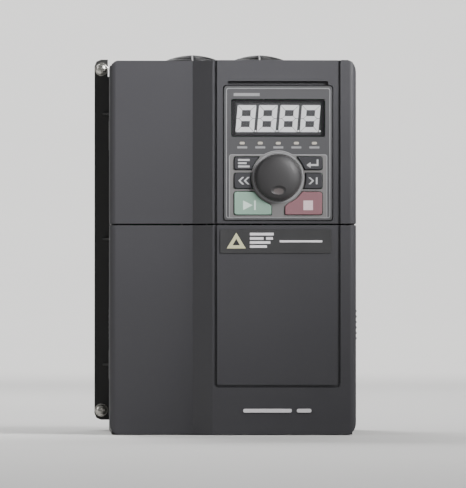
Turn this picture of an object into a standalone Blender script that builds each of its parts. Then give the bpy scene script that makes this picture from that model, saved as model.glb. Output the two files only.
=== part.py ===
"""A wall-mounted variable frequency drive: finned heatsink in a rear duct, electronics housing,
two front covers, a pull-out keypad with a rotary knob, and a lift-out unit with two cooling fans.

Frame: X to the right seen from the front, +Y towards the mounting wall, Z up.
The origin is under the centre of the drive, on the plane that it stands on.
Sizes are in millimetres and are multiplied by MM where they reach Blender.
"""

import math

import bmesh
import bpy
from mathutils import Matrix

MM = 0.001

# ---- driving dimensions ----------------------------------------------------------------------
COVER_HALF_WIDTH = 72.5
COVER_HEIGHT = 220.0
HOUSING_HALF_WIDTH = 71.0
HOUSING_TOP = 218.6
FLANGE_HALF_WIDTH = 80.0
FRONT = -82.6  # face of the raised front column
BACK = 91.7  # face that lies on the wall
WALL = 2.5  # plastic wall thickness
FIT = 0.3  # gap between neighbouring pieces

# front covers
SHOULDER_FRONT = FRONT + 8.6  # the lower surface on the left of the column
SHOULDER_EDGE_X = -23.5  # where the slope up to the column starts
COLUMN_EDGE_X = -12.0  # where that slope ends
COVER_REAR = FRONT + 16.0
SEAM = 123.5  # height of the line between the two covers
SEAM_GAP = 0.8
GROOVES_X = (-10.2, 62.3)  # the two grooves beside the front panel
GROOVE_WIDTH = 1.5
GROOVE_DEPTH = 1.3
PANEL_BOTTOM = 28.5
COVER_SCREW_Y = COVER_REAR - 3.7
COVER_SCREWS_X = (-58.0, 58.0)
COVER_SCREW_RADIUS = 2.2

# housings
HOUSING_FRONT = COVER_REAR + 0.4
HOUSING_REAR = HOUSING_FRONT + 109.4
DUCT_FRONT = HOUSING_REAR + FIT
HEATSINK_TOP = 192.0
FLANGE_THICKNESS = 4.0
FLANGE_Z = (6.0, 227.5)  # its ears rise above the roof on both sides of the fan unit
EAR_INNER_X = 71.8
MOUNT_HOLE_X = 75.8
MOUNT_HOLES_Z = (12.0, 221.5)
MOUNT_HOLE_RADIUS = 2.4

# keypad
KEYPAD_X = (-5.3, 58.3)
KEYPAD_Z = (126.0, 204.8)
KEYPAD_FRONT = FRONT - 0.6
BEZEL_THICKNESS = 2.0
KNOB_X = 26.5
KNOB_Z = 151.0
KNOB_RADIUS = 13.8
KEY_RING_RADIUS = 16.2  # the keys stop at this circle round the knob
KEY_PROUD = 1.0
KEY_DEPTH = 7.0  # a key ends just over 1 mm in front of its switch
PLUG_Z = 176.0

# fans
FAN_SIZE = 40.0
FAN_X = 20.5
FAN_Y = DUCT_FRONT + 23.0
FAN_BORE = 18.8
FAN_PLATE = (HOUSING_TOP + FIT, 222.0)
GUARD_RISE = 5.0

# boards
POWER_BOARD = (20.0, 21.6)
CONTROL_BOARD = (-53.0, -51.4)
FRAME_PLATE = (-45.0, -43.0)

PARTS = bpy.data.collections.new("variable_frequency_drive")
CUTTERS = bpy.data.collections.new("cutters")


# ---- tools -----------------------------------------------------------------------------------
def clear_scene():
    for obj in list(bpy.data.objects):
        bpy.data.objects.remove(obj)
    bpy.context.scene.collection.children.link(PARTS)
    bpy.context.scene.collection.children.link(CUTTERS)


def make_material(name, colour, roughness, metallic=0.0, alpha=1.0):
    material = bpy.data.materials.new(name)
    material.use_nodes = True
    shader = material.node_tree.nodes["Principled BSDF"]
    shader.inputs["Base Color"].default_value = (*colour, 1)
    shader.inputs["Roughness"].default_value = roughness
    shader.inputs["Metallic"].default_value = metallic
    shader.inputs["Alpha"].default_value = alpha
    return material


def place(name, mesh, material=None, helper=False):
    """A named object for a mesh: a part of the drive, or a hidden helper for a Boolean."""
    obj = bpy.data.objects.new(name, mesh)
    (CUTTERS if helper else PARTS).objects.link(obj)
    if helper:
        obj.hide_render = True
        obj.display_type = "WIRE"
    else:
        mesh.materials.append(material)
    return obj


def mesh_from(name, bm):
    mesh = bpy.data.meshes.new(name)
    bmesh.ops.recalc_face_normals(bm, faces=bm.faces)
    bm.to_mesh(mesh)
    bm.free()
    return mesh


def box(name, low, high, material=None, helper=False):
    """A box between two corners, with its origin at its centre."""
    bm = bmesh.new()
    bmesh.ops.create_cube(bm, size=1)
    bmesh.ops.scale(bm, vec=[(b - a) * MM for a, b in zip(low, high)], verts=bm.verts)
    obj = place(name, mesh_from(name, bm), material, helper)
    obj.location = [(a + b) / 2 * MM for a, b in zip(low, high)]
    return obj


def box_group(name, corners):
    """A helper that holds many boxes, each given by its two corners."""
    bm = bmesh.new()
    for low, high in corners:
        made = bmesh.ops.create_cube(bm, size=1)["verts"]
        bmesh.ops.scale(bm, vec=[(b - a) * MM for a, b in zip(low, high)], verts=made)
        bmesh.ops.translate(bm, vec=[(a + b) / 2 * MM for a, b in zip(low, high)], verts=made)
    return place(name, mesh_from(name, bm), helper=True)


TURN_TO = {"X": (0, math.pi / 2, 0), "Y": (math.pi / 2, 0, 0), "Z": (0, 0, 0)}


def cylinder(name, radius, start, end, axis, material=None, segments=24, helper=False):
    """A cylinder between two points that differ only along the axis."""
    bm = bmesh.new()
    length = math.dist(start, end) * MM
    bmesh.ops.create_cone(
        bm, cap_ends=True, segments=segments, radius1=radius * MM, radius2=radius * MM, depth=length
    )
    obj = place(name, mesh_from(name, bm), material, helper)
    obj.location = [(a + b) / 2 * MM for a, b in zip(start, end)]
    obj.rotation_euler = TURN_TO[axis]
    return obj


FACE_ALONG = {"X": (math.pi / 2, 0, math.pi / 2), "Y": (math.pi / 2, 0, 0), "Z": (0, 0, 0)}


def extruded(name, outlines, low, high, axis, material=None, origin=(0, 0), helper=False):
    """Closed outlines, the first the rim and the rest holes, extruded along an axis.

    An outline's points are (x, y) along Z, (x, z) along Y and (y, z) along X.
    """
    curve = bpy.data.curves.new(name, "CURVE")
    curve.dimensions = "2D"
    curve.fill_mode = "BOTH"
    curve.extrude = (high - low) / 2 * MM
    for outline in outlines:
        spline = curve.splines.new("POLY")
        spline.points.add(len(outline) - 1)
        for point, (u, v) in zip(spline.points, outline):
            point.co = ((u - origin[0]) * MM, (v - origin[1]) * MM, 0, 1)
        spline.use_cyclic_u = True
    obj = mesh_of_curve(name, curve, material, helper, flat_caps=len(outlines) == 1)
    middle = (low + high) / 2
    spot = {"X": (middle, *origin), "Y": (origin[0], middle, origin[1]), "Z": (*origin, middle)}[axis]
    obj.location = [value * MM for value in spot]
    obj.rotation_euler = FACE_ALONG[axis]
    return obj


def mesh_of_curve(name, curve, material, helper=False, flat_caps=False):
    """A mesh object made from a curve, with its caps welded on and each cap one face if asked."""
    guide = bpy.data.objects.new(name + "_guide", curve)
    bpy.context.scene.collection.objects.link(guide)
    bpy.context.view_layer.update()
    graph = bpy.context.evaluated_depsgraph_get()
    mesh = bpy.data.meshes.new_from_object(guide.evaluated_get(graph))
    bpy.data.objects.remove(guide)
    bm = bmesh.new()
    bm.from_mesh(mesh)
    bmesh.ops.remove_doubles(bm, verts=bm.verts, dist=0.001 * MM)
    if flat_caps:
        bmesh.ops.dissolve_limit(bm, angle_limit=0.001, verts=bm.verts, edges=bm.edges)
    bmesh.ops.recalc_face_normals(bm, faces=bm.faces)
    bm.to_mesh(mesh)
    bm.free()
    mesh.name = name
    return place(name, mesh, material, helper)


def turned(name, profile, centre, material, steps=24):
    """A ring turned about a vertical axis from a closed profile of (radius, height) points."""
    bm = bmesh.new()
    verts = [bm.verts.new((radius * MM, 0, height * MM)) for radius, height in profile]
    for a, b in zip(verts, verts[1:] + verts[:1]):
        bm.edges.new((a, b))
    mesh = bpy.data.meshes.new(name)
    bm.to_mesh(mesh)
    bm.free()
    obj = place(name, mesh, material)
    obj.location = [value * MM for value in centre]
    screw = obj.modifiers.new("Turn", "SCREW")
    screw.steps = screw.render_steps = steps
    screw.use_merge_vertices = True
    screw.merge_threshold = 0.00001
    screw.use_normal_calculate = True
    return obj


def tube(name, points, radius, material):
    """A round lead along a smooth route through the given points."""
    curve = bpy.data.curves.new(name, "CURVE")
    curve.dimensions = "3D"
    curve.bevel_depth = radius * MM
    curve.bevel_resolution = 2
    curve.use_fill_caps = True
    spline = curve.splines.new("POLY")
    route = smooth_route(points)
    spline.points.add(len(route) - 1)
    for point, spot in zip(spline.points, route):
        point.co = (*[value * MM for value in spot], 1)
    return mesh_of_curve(name, curve, material)


def smooth_route(points, per_span=4):
    """Points of a Catmull-Rom curve through the given ones."""
    padded = [points[0], *points, points[-1]]
    route = []
    for a, b, c, d in zip(padded, padded[1:], padded[2:], padded[3:]):
        for step in range(per_span):
            t = step / per_span
            route.append([
                0.5 * (2 * q + (r - p) * t + (2 * p - 5 * q + 4 * r - s) * t**2
                       + (3 * q - p - 3 * r + s) * t**3)
                for p, q, r, s in zip(a, b, c, d)
            ])
    return [*route, points[-1]]


def combine(obj, other, operation):
    modifier = obj.modifiers.new(other.name, "BOOLEAN")
    modifier.operation = operation
    modifier.object = other
    return obj


def cut(obj, *cutters):
    for cutter in cutters:
        combine(obj, cutter, "DIFFERENCE")
    return obj


def join(obj, *others):
    for other in others:
        combine(obj, other, "UNION")
    return obj


def bevel(obj, width, segments=2, angle=40):
    modifier = obj.modifiers.new("Bevel", "BEVEL")
    modifier.width = width * MM
    modifier.segments = segments
    modifier.limit_method = "ANGLE"
    modifier.angle_limit = math.radians(angle)
    return obj


def smooth(obj, angle=35):
    """Shade a round piece smooth, with its edges kept sharp."""
    obj.data.shade_smooth()
    obj.data.set_sharp_from_angle(angle=math.radians(angle))
    return obj


def arc(centre, radius, start, end, count=4):
    """Points of an arc, with its angles in degrees."""
    turns = [math.radians(start + (end - start) * i / count) for i in range(count + 1)]
    return [(centre[0] + radius * math.cos(t), centre[1] + radius * math.sin(t)) for t in turns]


def circle(centre, radius, count=24):
    return arc(centre, radius, 0, 360, count)[:-1]


def rectangle(low, high, corner=0.0, count=2):
    """A rectangle, with rounded corners if asked for."""
    if not corner:
        return [low, (high[0], low[1]), high, (low[0], high[1])]
    x0, x1, y0, y1 = low[0] + corner, high[0] - corner, low[1] + corner, high[1] - corner
    return [
        *arc((x1, y0), corner, -90, 0, count),
        *arc((x1, y1), corner, 0, 90, count),
        *arc((x0, y1), corner, 90, 180, count),
        *arc((x0, y0), corner, 180, 270, count),
    ]


def body_at(name, spot):
    """An empty on a joint's axis, which carries the pieces that move together."""
    empty = bpy.data.objects.new(name, None)
    empty.location = [value * MM for value in spot]
    PARTS.objects.link(empty)
    return empty


def carry(empty, *pieces):
    bpy.context.view_layer.update()
    for piece in pieces:
        piece.parent = empty
        piece.matrix_parent_inverse = empty.matrix_world.inverted()


# ---- materials -------------------------------------------------------------------------------
COVER = make_material("cover_plastic", (0.075, 0.073, 0.08), 0.45)
HOUSING = make_material("housing_plastic", (0.03, 0.03, 0.032), 0.5)
ALUMINIUM = make_material("heatsink_aluminium", (0.55, 0.56, 0.57), 0.4, 1.0)
STEEL = make_material("plated_steel", (0.6, 0.6, 0.58), 0.3, 1.0)
BOARD = make_material("circuit_board", (0.02, 0.14, 0.06), 0.45)
SLEEVE = make_material("capacitor_sleeve", (0.02, 0.02, 0.025), 0.35)
MODULE = make_material("module_resin", (0.05, 0.05, 0.055), 0.5)
COPPER = make_material("copper_winding", (0.6, 0.25, 0.1), 0.35, 1.0)
TERMINAL = make_material("terminal_plastic", (0.02, 0.02, 0.02), 0.55)
TERMINAL_GREEN = make_material("terminal_green", (0.03, 0.25, 0.08), 0.5)
FRAME = make_material("frame_plastic", (0.1, 0.1, 0.105), 0.6)
RUBBER = make_material("grommet_rubber", (0.01, 0.01, 0.01), 0.8)
OVERLAY = make_material("keypad_overlay", (0.12, 0.12, 0.125), 0.4)
WINDOW = make_material("display_window", (0.03, 0.03, 0.035), 0.1, 0.0, 0.5)
DISPLAY = make_material("display_face", (0.5, 0.5, 0.5), 0.3)
KEY_GREY = make_material("key_grey", (0.05, 0.05, 0.055), 0.45)
KEY_GREEN = make_material("key_green", (0.25, 0.45, 0.35), 0.45)
KEY_RED = make_material("key_red", (0.5, 0.2, 0.22), 0.45)
KNOB = make_material("knob_plastic", (0.04, 0.04, 0.042), 0.4)
LABEL = make_material("label_film", (0.015, 0.015, 0.015), 0.4)
PLATE = make_material("rating_film", (0.6, 0.6, 0.6), 0.35)
RIBBON = make_material("ribbon_grey", (0.35, 0.36, 0.38), 0.5)
LAMP = make_material("lamp_red", (0.6, 0.02, 0.02), 0.2)
FAN = make_material("fan_black", (0.012, 0.012, 0.012), 0.45)


# ---- housings --------------------------------------------------------------------------------
def flange_outline():
    """The mounting flange seen from the front, with an ear above the roof on each side."""
    low, high = FLANGE_Z
    corner_x, shoulder = FLANGE_HALF_WIDTH - 4, HOUSING_TOP - 1.6
    return [
        *arc((corner_x, low + 4), 4, -90, 0, 2),
        *arc((corner_x, high - 4), 4, 0, 90, 2),
        (EAR_INNER_X, high), (EAR_INNER_X, shoulder), (-EAR_INNER_X, shoulder), (-EAR_INNER_X, high),
        *arc((-corner_x, high - 4), 4, 90, 180, 2),
        *arc((-corner_x, low + 4), 4, 180, 270, 2),
    ]


def rear_housing():
    """The duct round the heatsink's fins, with the mounting flange."""
    obj = box(
        "rear_housing", (-HOUSING_HALF_WIDTH, DUCT_FRONT, 0), (HOUSING_HALF_WIDTH, BACK, HOUSING_TOP), HOUSING
    )
    holes = [
        circle((side * MOUNT_HOLE_X, z), MOUNT_HOLE_RADIUS, 12) for side in (-1, 1) for z in MOUNT_HOLES_Z
    ]
    flange = extruded(
        "flange", [flange_outline(), *holes], BACK - FLANGE_THICKNESS, BACK - 0.02, "Y", helper=True
    )
    inner = HOUSING_HALF_WIDTH - WALL
    duct = box(
        "duct_space", (-inner, DUCT_FRONT + WALL, -1), (inner, BACK - 2.2, HOUSING_TOP + 1), helper=True
    )
    window = box("heatsink_window", (-66, DUCT_FRONT - 1, 3), (66, DUCT_FRONT + 4, 193), helper=True)
    return cut(join(obj, flange), duct, window)


def main_housing():
    """The case round the electronics, open at the front and at the back."""
    half = HOUSING_HALF_WIDTH
    obj = box("main_housing", (-half, HOUSING_FRONT, 0), (half, HOUSING_REAR, HOUSING_TOP), HOUSING)
    inner = half - WALL
    space = box(
        "housing_space", (-inner, HOUSING_FRONT - 5, WALL), (inner, HOUSING_REAR + 5, HOUSING_TOP - WALL),
        helper=True,
    )
    entry = box("entry_opening", (-58, -58, -1), (58, -8, 3.5), helper=True)
    side_slots = [((-80, -34, 128 + 9 * i), (80, 26, 131 + 9 * i)) for i in range(9)]
    low_slots = [((-80, -10, 22 + 9 * i), (80, 26, 25 + 9 * i)) for i in range(4)]
    top_slots = [((x, -44, 210), (x + 3, 26, 225)) for x in range(-54, 55, 9)]
    slots = box_group("louvre_slots", side_slots + low_slots)
    return cut(obj, space, entry, slots, box_group("top_slots", top_slots))


def front_outline(rear):
    """The covers' section seen from above, from the left rear corner round the front to the right."""
    left, right = -COVER_HALF_WIDTH, COVER_HALF_WIDTH
    return [
        (left, rear),
        *arc((left + 4, SHOULDER_FRONT + 4), 4, 180, 270, 3),
        (SHOULDER_EDGE_X, SHOULDER_FRONT),
        (COLUMN_EDGE_X, FRONT),
        *arc((right - 4, FRONT + 4), 4, 270, 360, 3),
        (right, rear),
    ]


def inset(points, distance):
    """An open line of points moved to its left side by a distance."""
    moved = []
    for i, (x, y) in enumerate(points):
        before = points[i - 1] if i else None
        after = points[i + 1] if i + 1 < len(points) else None
        normals = []
        for a, b in ((before, (x, y)), ((x, y), after)):
            if a and b:
                length = math.dist(a, b)
                normals.append(((a[1] - b[1]) / length, (b[0] - a[0]) / length))
        nx = sum(n[0] for n in normals) / len(normals)
        ny = sum(n[1] for n in normals) / len(normals)
        reach = distance / (nx * nx + ny * ny)
        moved.append((x + nx * reach, y + ny * reach))
    return moved


def cover_shell(name, bottom, top, floor, roof):
    """One front cover: a tray with rounded front edges, open towards the housing."""
    outer = extruded(name, [front_outline(COVER_REAR + 6)], bottom, top, "Z", COVER)
    bevel(outer, 1.6, 2)
    hollow = extruded(
        name + "_space", [inset(front_outline(COVER_REAR + 12), WALL)], bottom + floor, top - roof, "Z",
        helper=True,
    )
    trim = box(name + "_trim", (-90, COVER_REAR, bottom - 5), (90, COVER_REAR + 20, top + 5), helper=True)
    return cut(outer, hollow, trim)


def groove(name, low, high):
    """A helper for a groove in the front face, between two (x, z) corners."""
    return box(name, (low[0], FRONT - 5, low[1]), (high[0], FRONT + GROOVE_DEPTH, high[1]), helper=True)


def upper_cover():
    obj = cover_shell("upper_cover", SEAM + SEAM_GAP / 2, COVER_HEIGHT, 1.6, WALL)
    x0, x1 = KEYPAD_X[0] - 0.5, KEYPAD_X[1] + 0.5
    z0, z1 = KEYPAD_Z[0] - 0.5, KEYPAD_Z[1] + 0.5
    back = COVER_REAR - 0.6
    pocket = box(
        "keypad_pocket", (x0 - 2, FRONT + 1.4, SEAM + 0.8), (x1 + 2, back + 1.6, z1 + 2), helper=True
    )
    opening = box("keypad_opening", (x0, FRONT - 5, z0), (x1, back, z1), helper=True)
    plug_hole = box(
        "plug_hole", (KNOB_X - 9, back - 3, PLUG_Z - 8), (KNOB_X + 9, back + 5, PLUG_Z + 8), helper=True
    )
    finger_slot = box("finger_slot", (-3, FRONT - 5, z1 - 3), (56, FRONT + 1.8, z1 + 2.4), helper=True)
    half = GROOVE_WIDTH / 2
    lines = [
        groove(f"upper_groove_{i}", (x - half, SEAM - 5), (x + half, COVER_HEIGHT + 5))
        for i, x in enumerate(GROOVES_X)
    ]
    y = COVER_SCREW_Y
    recesses = [
        cylinder(
            f"recess_{i}", COVER_SCREW_RADIUS + FIT, (x, y, COVER_HEIGHT - 1.9), (x, y, COVER_HEIGHT + 2),
            "Z", segments=16, helper=True,
        )
        for i, x in enumerate(COVER_SCREWS_X)
    ]
    return cut(join(obj, pocket), opening, plug_hole, finger_slot, *lines, *recesses)


def lower_cover():
    top = SEAM - SEAM_GAP / 2
    obj = cover_shell("lower_cover", 0.3, top, WALL, WALL)
    half = GROOVE_WIDTH / 2
    left, right = GROOVES_X
    line = [
        (left - half, top + 5), (left - half, PANEL_BOTTOM - half), (right + half, PANEL_BOTTOM - half),
        (right + half, top + 5), (right - half, top + 5), (right - half, PANEL_BOTTOM + half),
        (left + half, PANEL_BOTTOM + half), (left + half, top + 5),
    ]
    outline = extruded("lower_groove", [line], FRONT - 5, FRONT + GROOVE_DEPTH, "Y", helper=True)
    hooks = []
    for side, word in ((-1, "left"), (1, "right")):
        x0, x1 = sorted((side * 65.6, side * 67.8))
        arm = box(f"hook_arm_{word}", (x0, COVER_REAR - 5, 56), (x1, COVER_REAR + 9, 72), helper=True)
        root = box(
            f"hook_root_{word}", (min(side * 66.4, side * 71), COVER_REAR - 6, 55),
            (max(side * 66.4, side * 71), COVER_REAR - 0.5, 73), helper=True,
        )
        hooks += [arm, root]
    return cut(join(obj, *hooks), outline)


def cover_label():
    """The dark film label under the keypad."""
    return extruded(
        "cover_label", [rectangle((-7.6, 106.6), (57.8, 120.6), 1)], FRONT - 0.5, FRONT - 0.2, "Y", LABEL
    )


def cover_badge():
    """A plain strip near the foot of the cover."""
    return extruded(
        "cover_badge", [rectangle((6.0, 12.4), (46.0, 16.0), 1.2)], FRONT - 0.6, FRONT - 0.2, "Y", PLATE
    )


def cover_screw(name, x):
    """A flat head screw, sunk in a recess in the roof of the upper cover."""
    y, top = COVER_SCREW_Y, COVER_HEIGHT - 0.2
    head = cylinder(name, COVER_SCREW_RADIUS, (x, y, top - 1.4), (x, y, top), "Z", STEEL, 16)
    slot = box(name + "_slot", (x - 1.6, y - 0.35, top - 0.7), (x + 1.6, y + 0.35, top + 2), helper=True)
    return smooth(cut(head, slot))


# ---- heatsink and power electronics ----------------------------------------------------------
def heatsink():
    """An extruded comb: a base plate towards the electronics and fins in the duct."""
    half, count, thickness = 65.5, 16, 1.8
    base_front, base_rear, tip = DUCT_FRONT + FIT, DUCT_FRONT + 7, BACK - 3.2
    pitch = (2 * half - thickness) / (count - 1)
    comb = [(half, base_front), (half, tip)]
    for i in range(count - 1, -1, -1):
        left = -half + i * pitch
        comb.append((left, tip))
        if i:
            comb += [(left, base_rear), (left - pitch + thickness, base_rear), (left - pitch + thickness, tip)]
    comb.append((-half, base_front))
    return extruded("heatsink", [comb], 5, HEATSINK_TOP, "Z", ALUMINIUM)


def power_module(name, x0, x1, z0, z1):
    """A resin module screwed to the heatsink, with a lug at each end."""
    face = DUCT_FRONT + FIT - 0.4
    obj = bevel(box(name, (x0, face - 17, z0), (x1, face, z1), MODULE), 0.8, 1)
    middle = (z0 + z1) / 2
    notches = [
        cylinder(
            f"{name}_notch_{i}", 3, (x, face - 25, middle), (x, face + 5, middle), "Y", segments=12,
            helper=True,
        )
        for i, x in enumerate((x0, x1))
    ]
    return cut(obj, *notches)


def power_board():
    holes = [circle((x, z), 1.8, 8) for x in (-54, 54) for z in (30, 200)]
    return extruded("power_board", [rectangle((-66, 8), (66, 212)), *holes], *POWER_BOARD, "Y", BOARD)


def capacitor(name, x, z):
    front = POWER_BOARD[0] - FIT
    return smooth(bevel(cylinder(name, 17.5, (x, front - 50, z), (x, front, z), "Y", SLEEVE, 28), 1.2, 2))


def transformer():
    face = POWER_BOARD[0] - FIT
    core = box("switching_transformer", (28, face - 20, 180), (56, face - 4, 204), MODULE)
    bobbin = box("transformer_bobbin", (31, face - 23, 176), (53, face, 208), helper=True)
    return join(core, bobbin)


def precharge_relay():
    face = POWER_BOARD[0] - FIT
    return bevel(box("precharge_relay", (30, face - 22, 146), (58, face, 162), TERMINAL), 0.6, 1)


def current_sensor(name, x):
    face = POWER_BOARD[0] - FIT
    obj = bevel(box(name, (x - 10, face - 16, 92), (x + 10, face, 116), TERMINAL), 0.5, 1)
    return cut(obj, box(name + "_hole", (x - 5, face - 25, 99), (x + 5, face + 5, 109), helper=True))


def common_mode_choke():
    """A wound ring core that stands off the power board, with its axis along Y."""
    bm = bmesh.new()
    section = bmesh.ops.create_circle(bm, segments=10, radius=6 * MM)["verts"]
    bmesh.ops.rotate(bm, verts=section, cent=(0, 0, 0), matrix=Matrix.Rotation(math.pi / 2, 3, "X"))
    bmesh.ops.translate(bm, verts=section, vec=(13 * MM, 0, 0))
    bmesh.ops.spin(
        bm, geom=bm.verts[:] + bm.edges[:], cent=(0, 0, 0), axis=(0, 0, 1), angle=math.tau, steps=24
    )
    bmesh.ops.remove_doubles(bm, verts=bm.verts, dist=0.001 * MM)
    obj = place("common_mode_choke", mesh_from("common_mode_choke", bm), COPPER)
    obj.location = (-42 * MM, (POWER_BOARD[0] - 7) * MM, 104 * MM)
    obj.rotation_euler = TURN_TO["Y"]
    return smooth(obj)


def main_terminal_block():
    """A barrier strip: a block with walls between ten screw positions."""
    x0, pitch, count, wall = -64.0, 12.0, 10, 1.8
    rear, floor, front = POWER_BOARD[0] - FIT, 2.0, -17.0
    comb = [(x0, rear)]
    for i in range(count + 1):
        left = x0 + i * pitch - (wall if i else 0)
        right = left + wall
        if i:
            comb.append((left, floor))
        comb += [(left, front), (right, front)]
        if i < count:
            comb.append((right, floor))
    comb.append((x0 + count * pitch, rear))
    return extruded("main_terminal_block", [comb], 24, 48, "Z", TERMINAL)


def ground_terminal():
    rear = POWER_BOARD[0] - FIT
    obj = box("ground_terminal", (57.6, 8, 26), (66.6, rear, 46), STEEL)
    head = cylinder("ground_screw", 3.6, (62, 4, 36), (62, 9, 36), "Y", segments=16, helper=True)
    cross = box("ground_screw_slot", (59, 3, 35.4), (65, 5.2, 36.6), helper=True)
    return cut(join(obj, head), cross)


# ---- control electronics ---------------------------------------------------------------------
def inner_frame():
    """The plastic partition that carries the control board in front of the power board."""
    outline = rectangle((-67, 50), (67, 214), 3)
    ribbon_slot = rectangle((61.2, 101), (66.0, 129))
    obj = extruded("inner_frame", [outline, ribbon_slot], *FRAME_PLATE, "Y", FRAME)
    posts = [
        cylinder(
            f"post_{i}", 3.5, (x, FRAME_PLATE[0] + 0.5, z), (x, POWER_BOARD[0] - FIT, z), "Y", segments=10,
            helper=True,
        )
        for i, (x, z) in enumerate(((-62.5, 56), (62.5, 56), (-62.5, 209), (62.5, 209)))
    ]
    bosses = [
        cylinder(
            f"boss_{i}", 3, (x, CONTROL_BOARD[1] + FIT, z), (x, FRAME_PLATE[1] - 0.5, z), "Y", segments=10,
            helper=True,
        )
        for i, (x, z) in enumerate(((-55, 70), (55, 70), (-55, 200), (55, 200)))
    ]
    return join(obj, *posts, *bosses)


def control_board():
    holes = [circle((x, z), 1.6, 8) for x in (-57, 57) for z in (64, 202)]
    return extruded("control_board", [rectangle((-60, 54), (60, 206)), *holes], *CONTROL_BOARD, "Y", BOARD)


def control_terminal_block():
    """A row of small screw terminals along the foot of the control board."""
    x0, pitch, count = -50.0, 5.08, 16
    rear, front = CONTROL_BOARD[0] - FIT, CONTROL_BOARD[0] - 11
    obj = box("control_terminal_block", (x0, front, 56), (x0 + pitch * count, rear, 68), TERMINAL_GREEN)
    centres = [x0 + pitch * (i + 0.5) for i in range(count)]
    entries = [((x - 1.7, front + 2, 50), (x + 1.7, front + 6, 62)) for x in centres]
    wells = [((x - 1.6, front - 5, 63), (x + 1.6, front + 1.5, 66.2)) for x in centres]
    return cut(obj, box_group("wire_entries", entries), box_group("screw_wells", wells))


def control_processor():
    rear = CONTROL_BOARD[0] - FIT
    return bevel(box("control_processor", (-30, rear - 1.6, 120), (-14, rear, 136), MODULE), 0.3, 1)


def charge_lamp():
    rear = CONTROL_BOARD[0] - FIT
    lamp = cylinder("charge_lamp", 2.5, (-55, rear - 5, 80), (-55, rear, 80), "Y", LAMP, 14)
    return smooth(bevel(lamp, 1.2, 2, 60))


def keypad_socket():
    rear, front = CONTROL_BOARD[0] - FIT, COVER_REAR + 2.6
    obj = box("keypad_socket", (KNOB_X - 8, front, PLUG_Z - 7), (KNOB_X + 8, rear, PLUG_Z + 7), TERMINAL)
    cavity = box(
        "socket_cavity", (KNOB_X - 6, front - 5, PLUG_Z - 4.2), (KNOB_X + 6, front + 8, PLUG_Z + 4.2),
        helper=True,
    )
    return cut(obj, cavity)


def ribbon_cable():
    """The flat cable round the edge of the partition, from the control board to the power board."""
    start, end = CONTROL_BOARD[1] + 0.8, POWER_BOARD[0] - 0.8
    middle = [
        (57, start), (61.4, start), *arc((61.4, start + 2.2), 2.2, -90, 0, 3)[1:],
        *arc((61.4, end - 2.2), 2.2, 0, 90, 3), (57, end),
    ]
    strip = inset(middle, 0.5) + inset(middle, -0.5)[::-1]
    return extruded("ribbon_cable", [strip], 104, 126, "Z", RIBBON)


# ---- cable entry -----------------------------------------------------------------------------
ENTRY_Y = -33.0
ENTRIES_X = (-38.0, 0.0, 38.0)


def cable_entry_plate():
    holes = [circle((x, ENTRY_Y), 10.4, 24) for x in ENTRIES_X]
    return extruded("cable_entry_plate", [rectangle((-61, -61), (61, -5), 2), *holes], 2.8, 4.8, "Z", HOUSING)


def grommet(name, x):
    """A rubber ring with a groove that holds the plate's edge."""
    profile = [
        (7, 8.0), (10.0, 7.4), (12, 6.0), (12, 5.1), (10, 5.1), (10, 2.5), (12, 2.5), (12, 0.8), (7, 0.8),
    ]
    return smooth(turned(name, profile, (x, ENTRY_Y, 0), RUBBER))


def rating_plate():
    """A blank film label on the right side of the housing."""
    x = HOUSING_HALF_WIDTH + FIT
    return extruded("rating_plate", [rectangle((-34, 66), (24, 110), 2)], x, x + 0.4, "X", PLATE)


# ---- fan unit --------------------------------------------------------------------------------
def fan_cover():
    outline = rectangle((-HOUSING_HALF_WIDTH, DUCT_FRONT), (HOUSING_HALF_WIDTH, BACK), 2)
    holes = [circle((side * FAN_X, FAN_Y), 17.8, 28) for side in (-1, 1)]
    vents = [
        rectangle((min(side * x, side * (x + 3)), DUCT_FRONT + 8), (max(side * x, side * (x + 3)), BACK - 8))
        for side in (-1, 1) for x in (46, 53, 60)
    ]
    return extruded("fan_cover", [outline, *holes, *vents], *FAN_PLATE, "Z", HOUSING)


def fan_guard(name, x):
    """A domed finger guard: four rings on four spokes, cut from a thin dome."""
    steps, spoke_every = 28, 7
    radii = [3.6, 7.2, 8.8, 12.0, 13.6, 16.6, 18.8, 20.2]
    open_bands = (0, 2, 4)
    bm = bmesh.new()
    line = [bm.verts.new((r * MM, 0, GUARD_RISE * max(0.0, 1 - (r / 18.8) ** 2) * MM)) for r in radii]
    edges = [bm.edges.new(pair) for pair in zip(line, line[1:])]
    bmesh.ops.spin(
        bm, geom=line + edges, cent=(0, 0, 0), axis=(0, 0, 1), dvec=(0, 0, 0), angle=math.tau, steps=steps
    )
    bmesh.ops.remove_doubles(bm, verts=bm.verts, dist=0.001 * MM)
    gaps = []
    for face in bm.faces:
        middle = face.calc_center_median()
        reach = math.hypot(middle.x, middle.y) / MM
        band = sum(reach > r for r in radii) - 1
        sector = int(math.atan2(middle.y, middle.x) % math.tau / math.tau * steps)
        if band in open_bands and sector % spoke_every:
            gaps.append(face)
    bmesh.ops.delete(bm, geom=gaps, context="FACES")
    hub = (radii[0] + 0.5) * MM
    inner = [e for e in bm.edges if e.is_boundary and all(v.co.xy.length < hub for v in e.verts)]
    bmesh.ops.holes_fill(bm, edges=inner)
    obj = place(name, mesh_from(name, bm), FAN)
    obj.location = (x * MM, FAN_Y * MM, (FAN_PLATE[1] + 1.5) * MM)
    shell = obj.modifiers.new("Shell", "SOLIDIFY")
    shell.thickness = 1.2 * MM
    shell.offset = -1
    return obj


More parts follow.
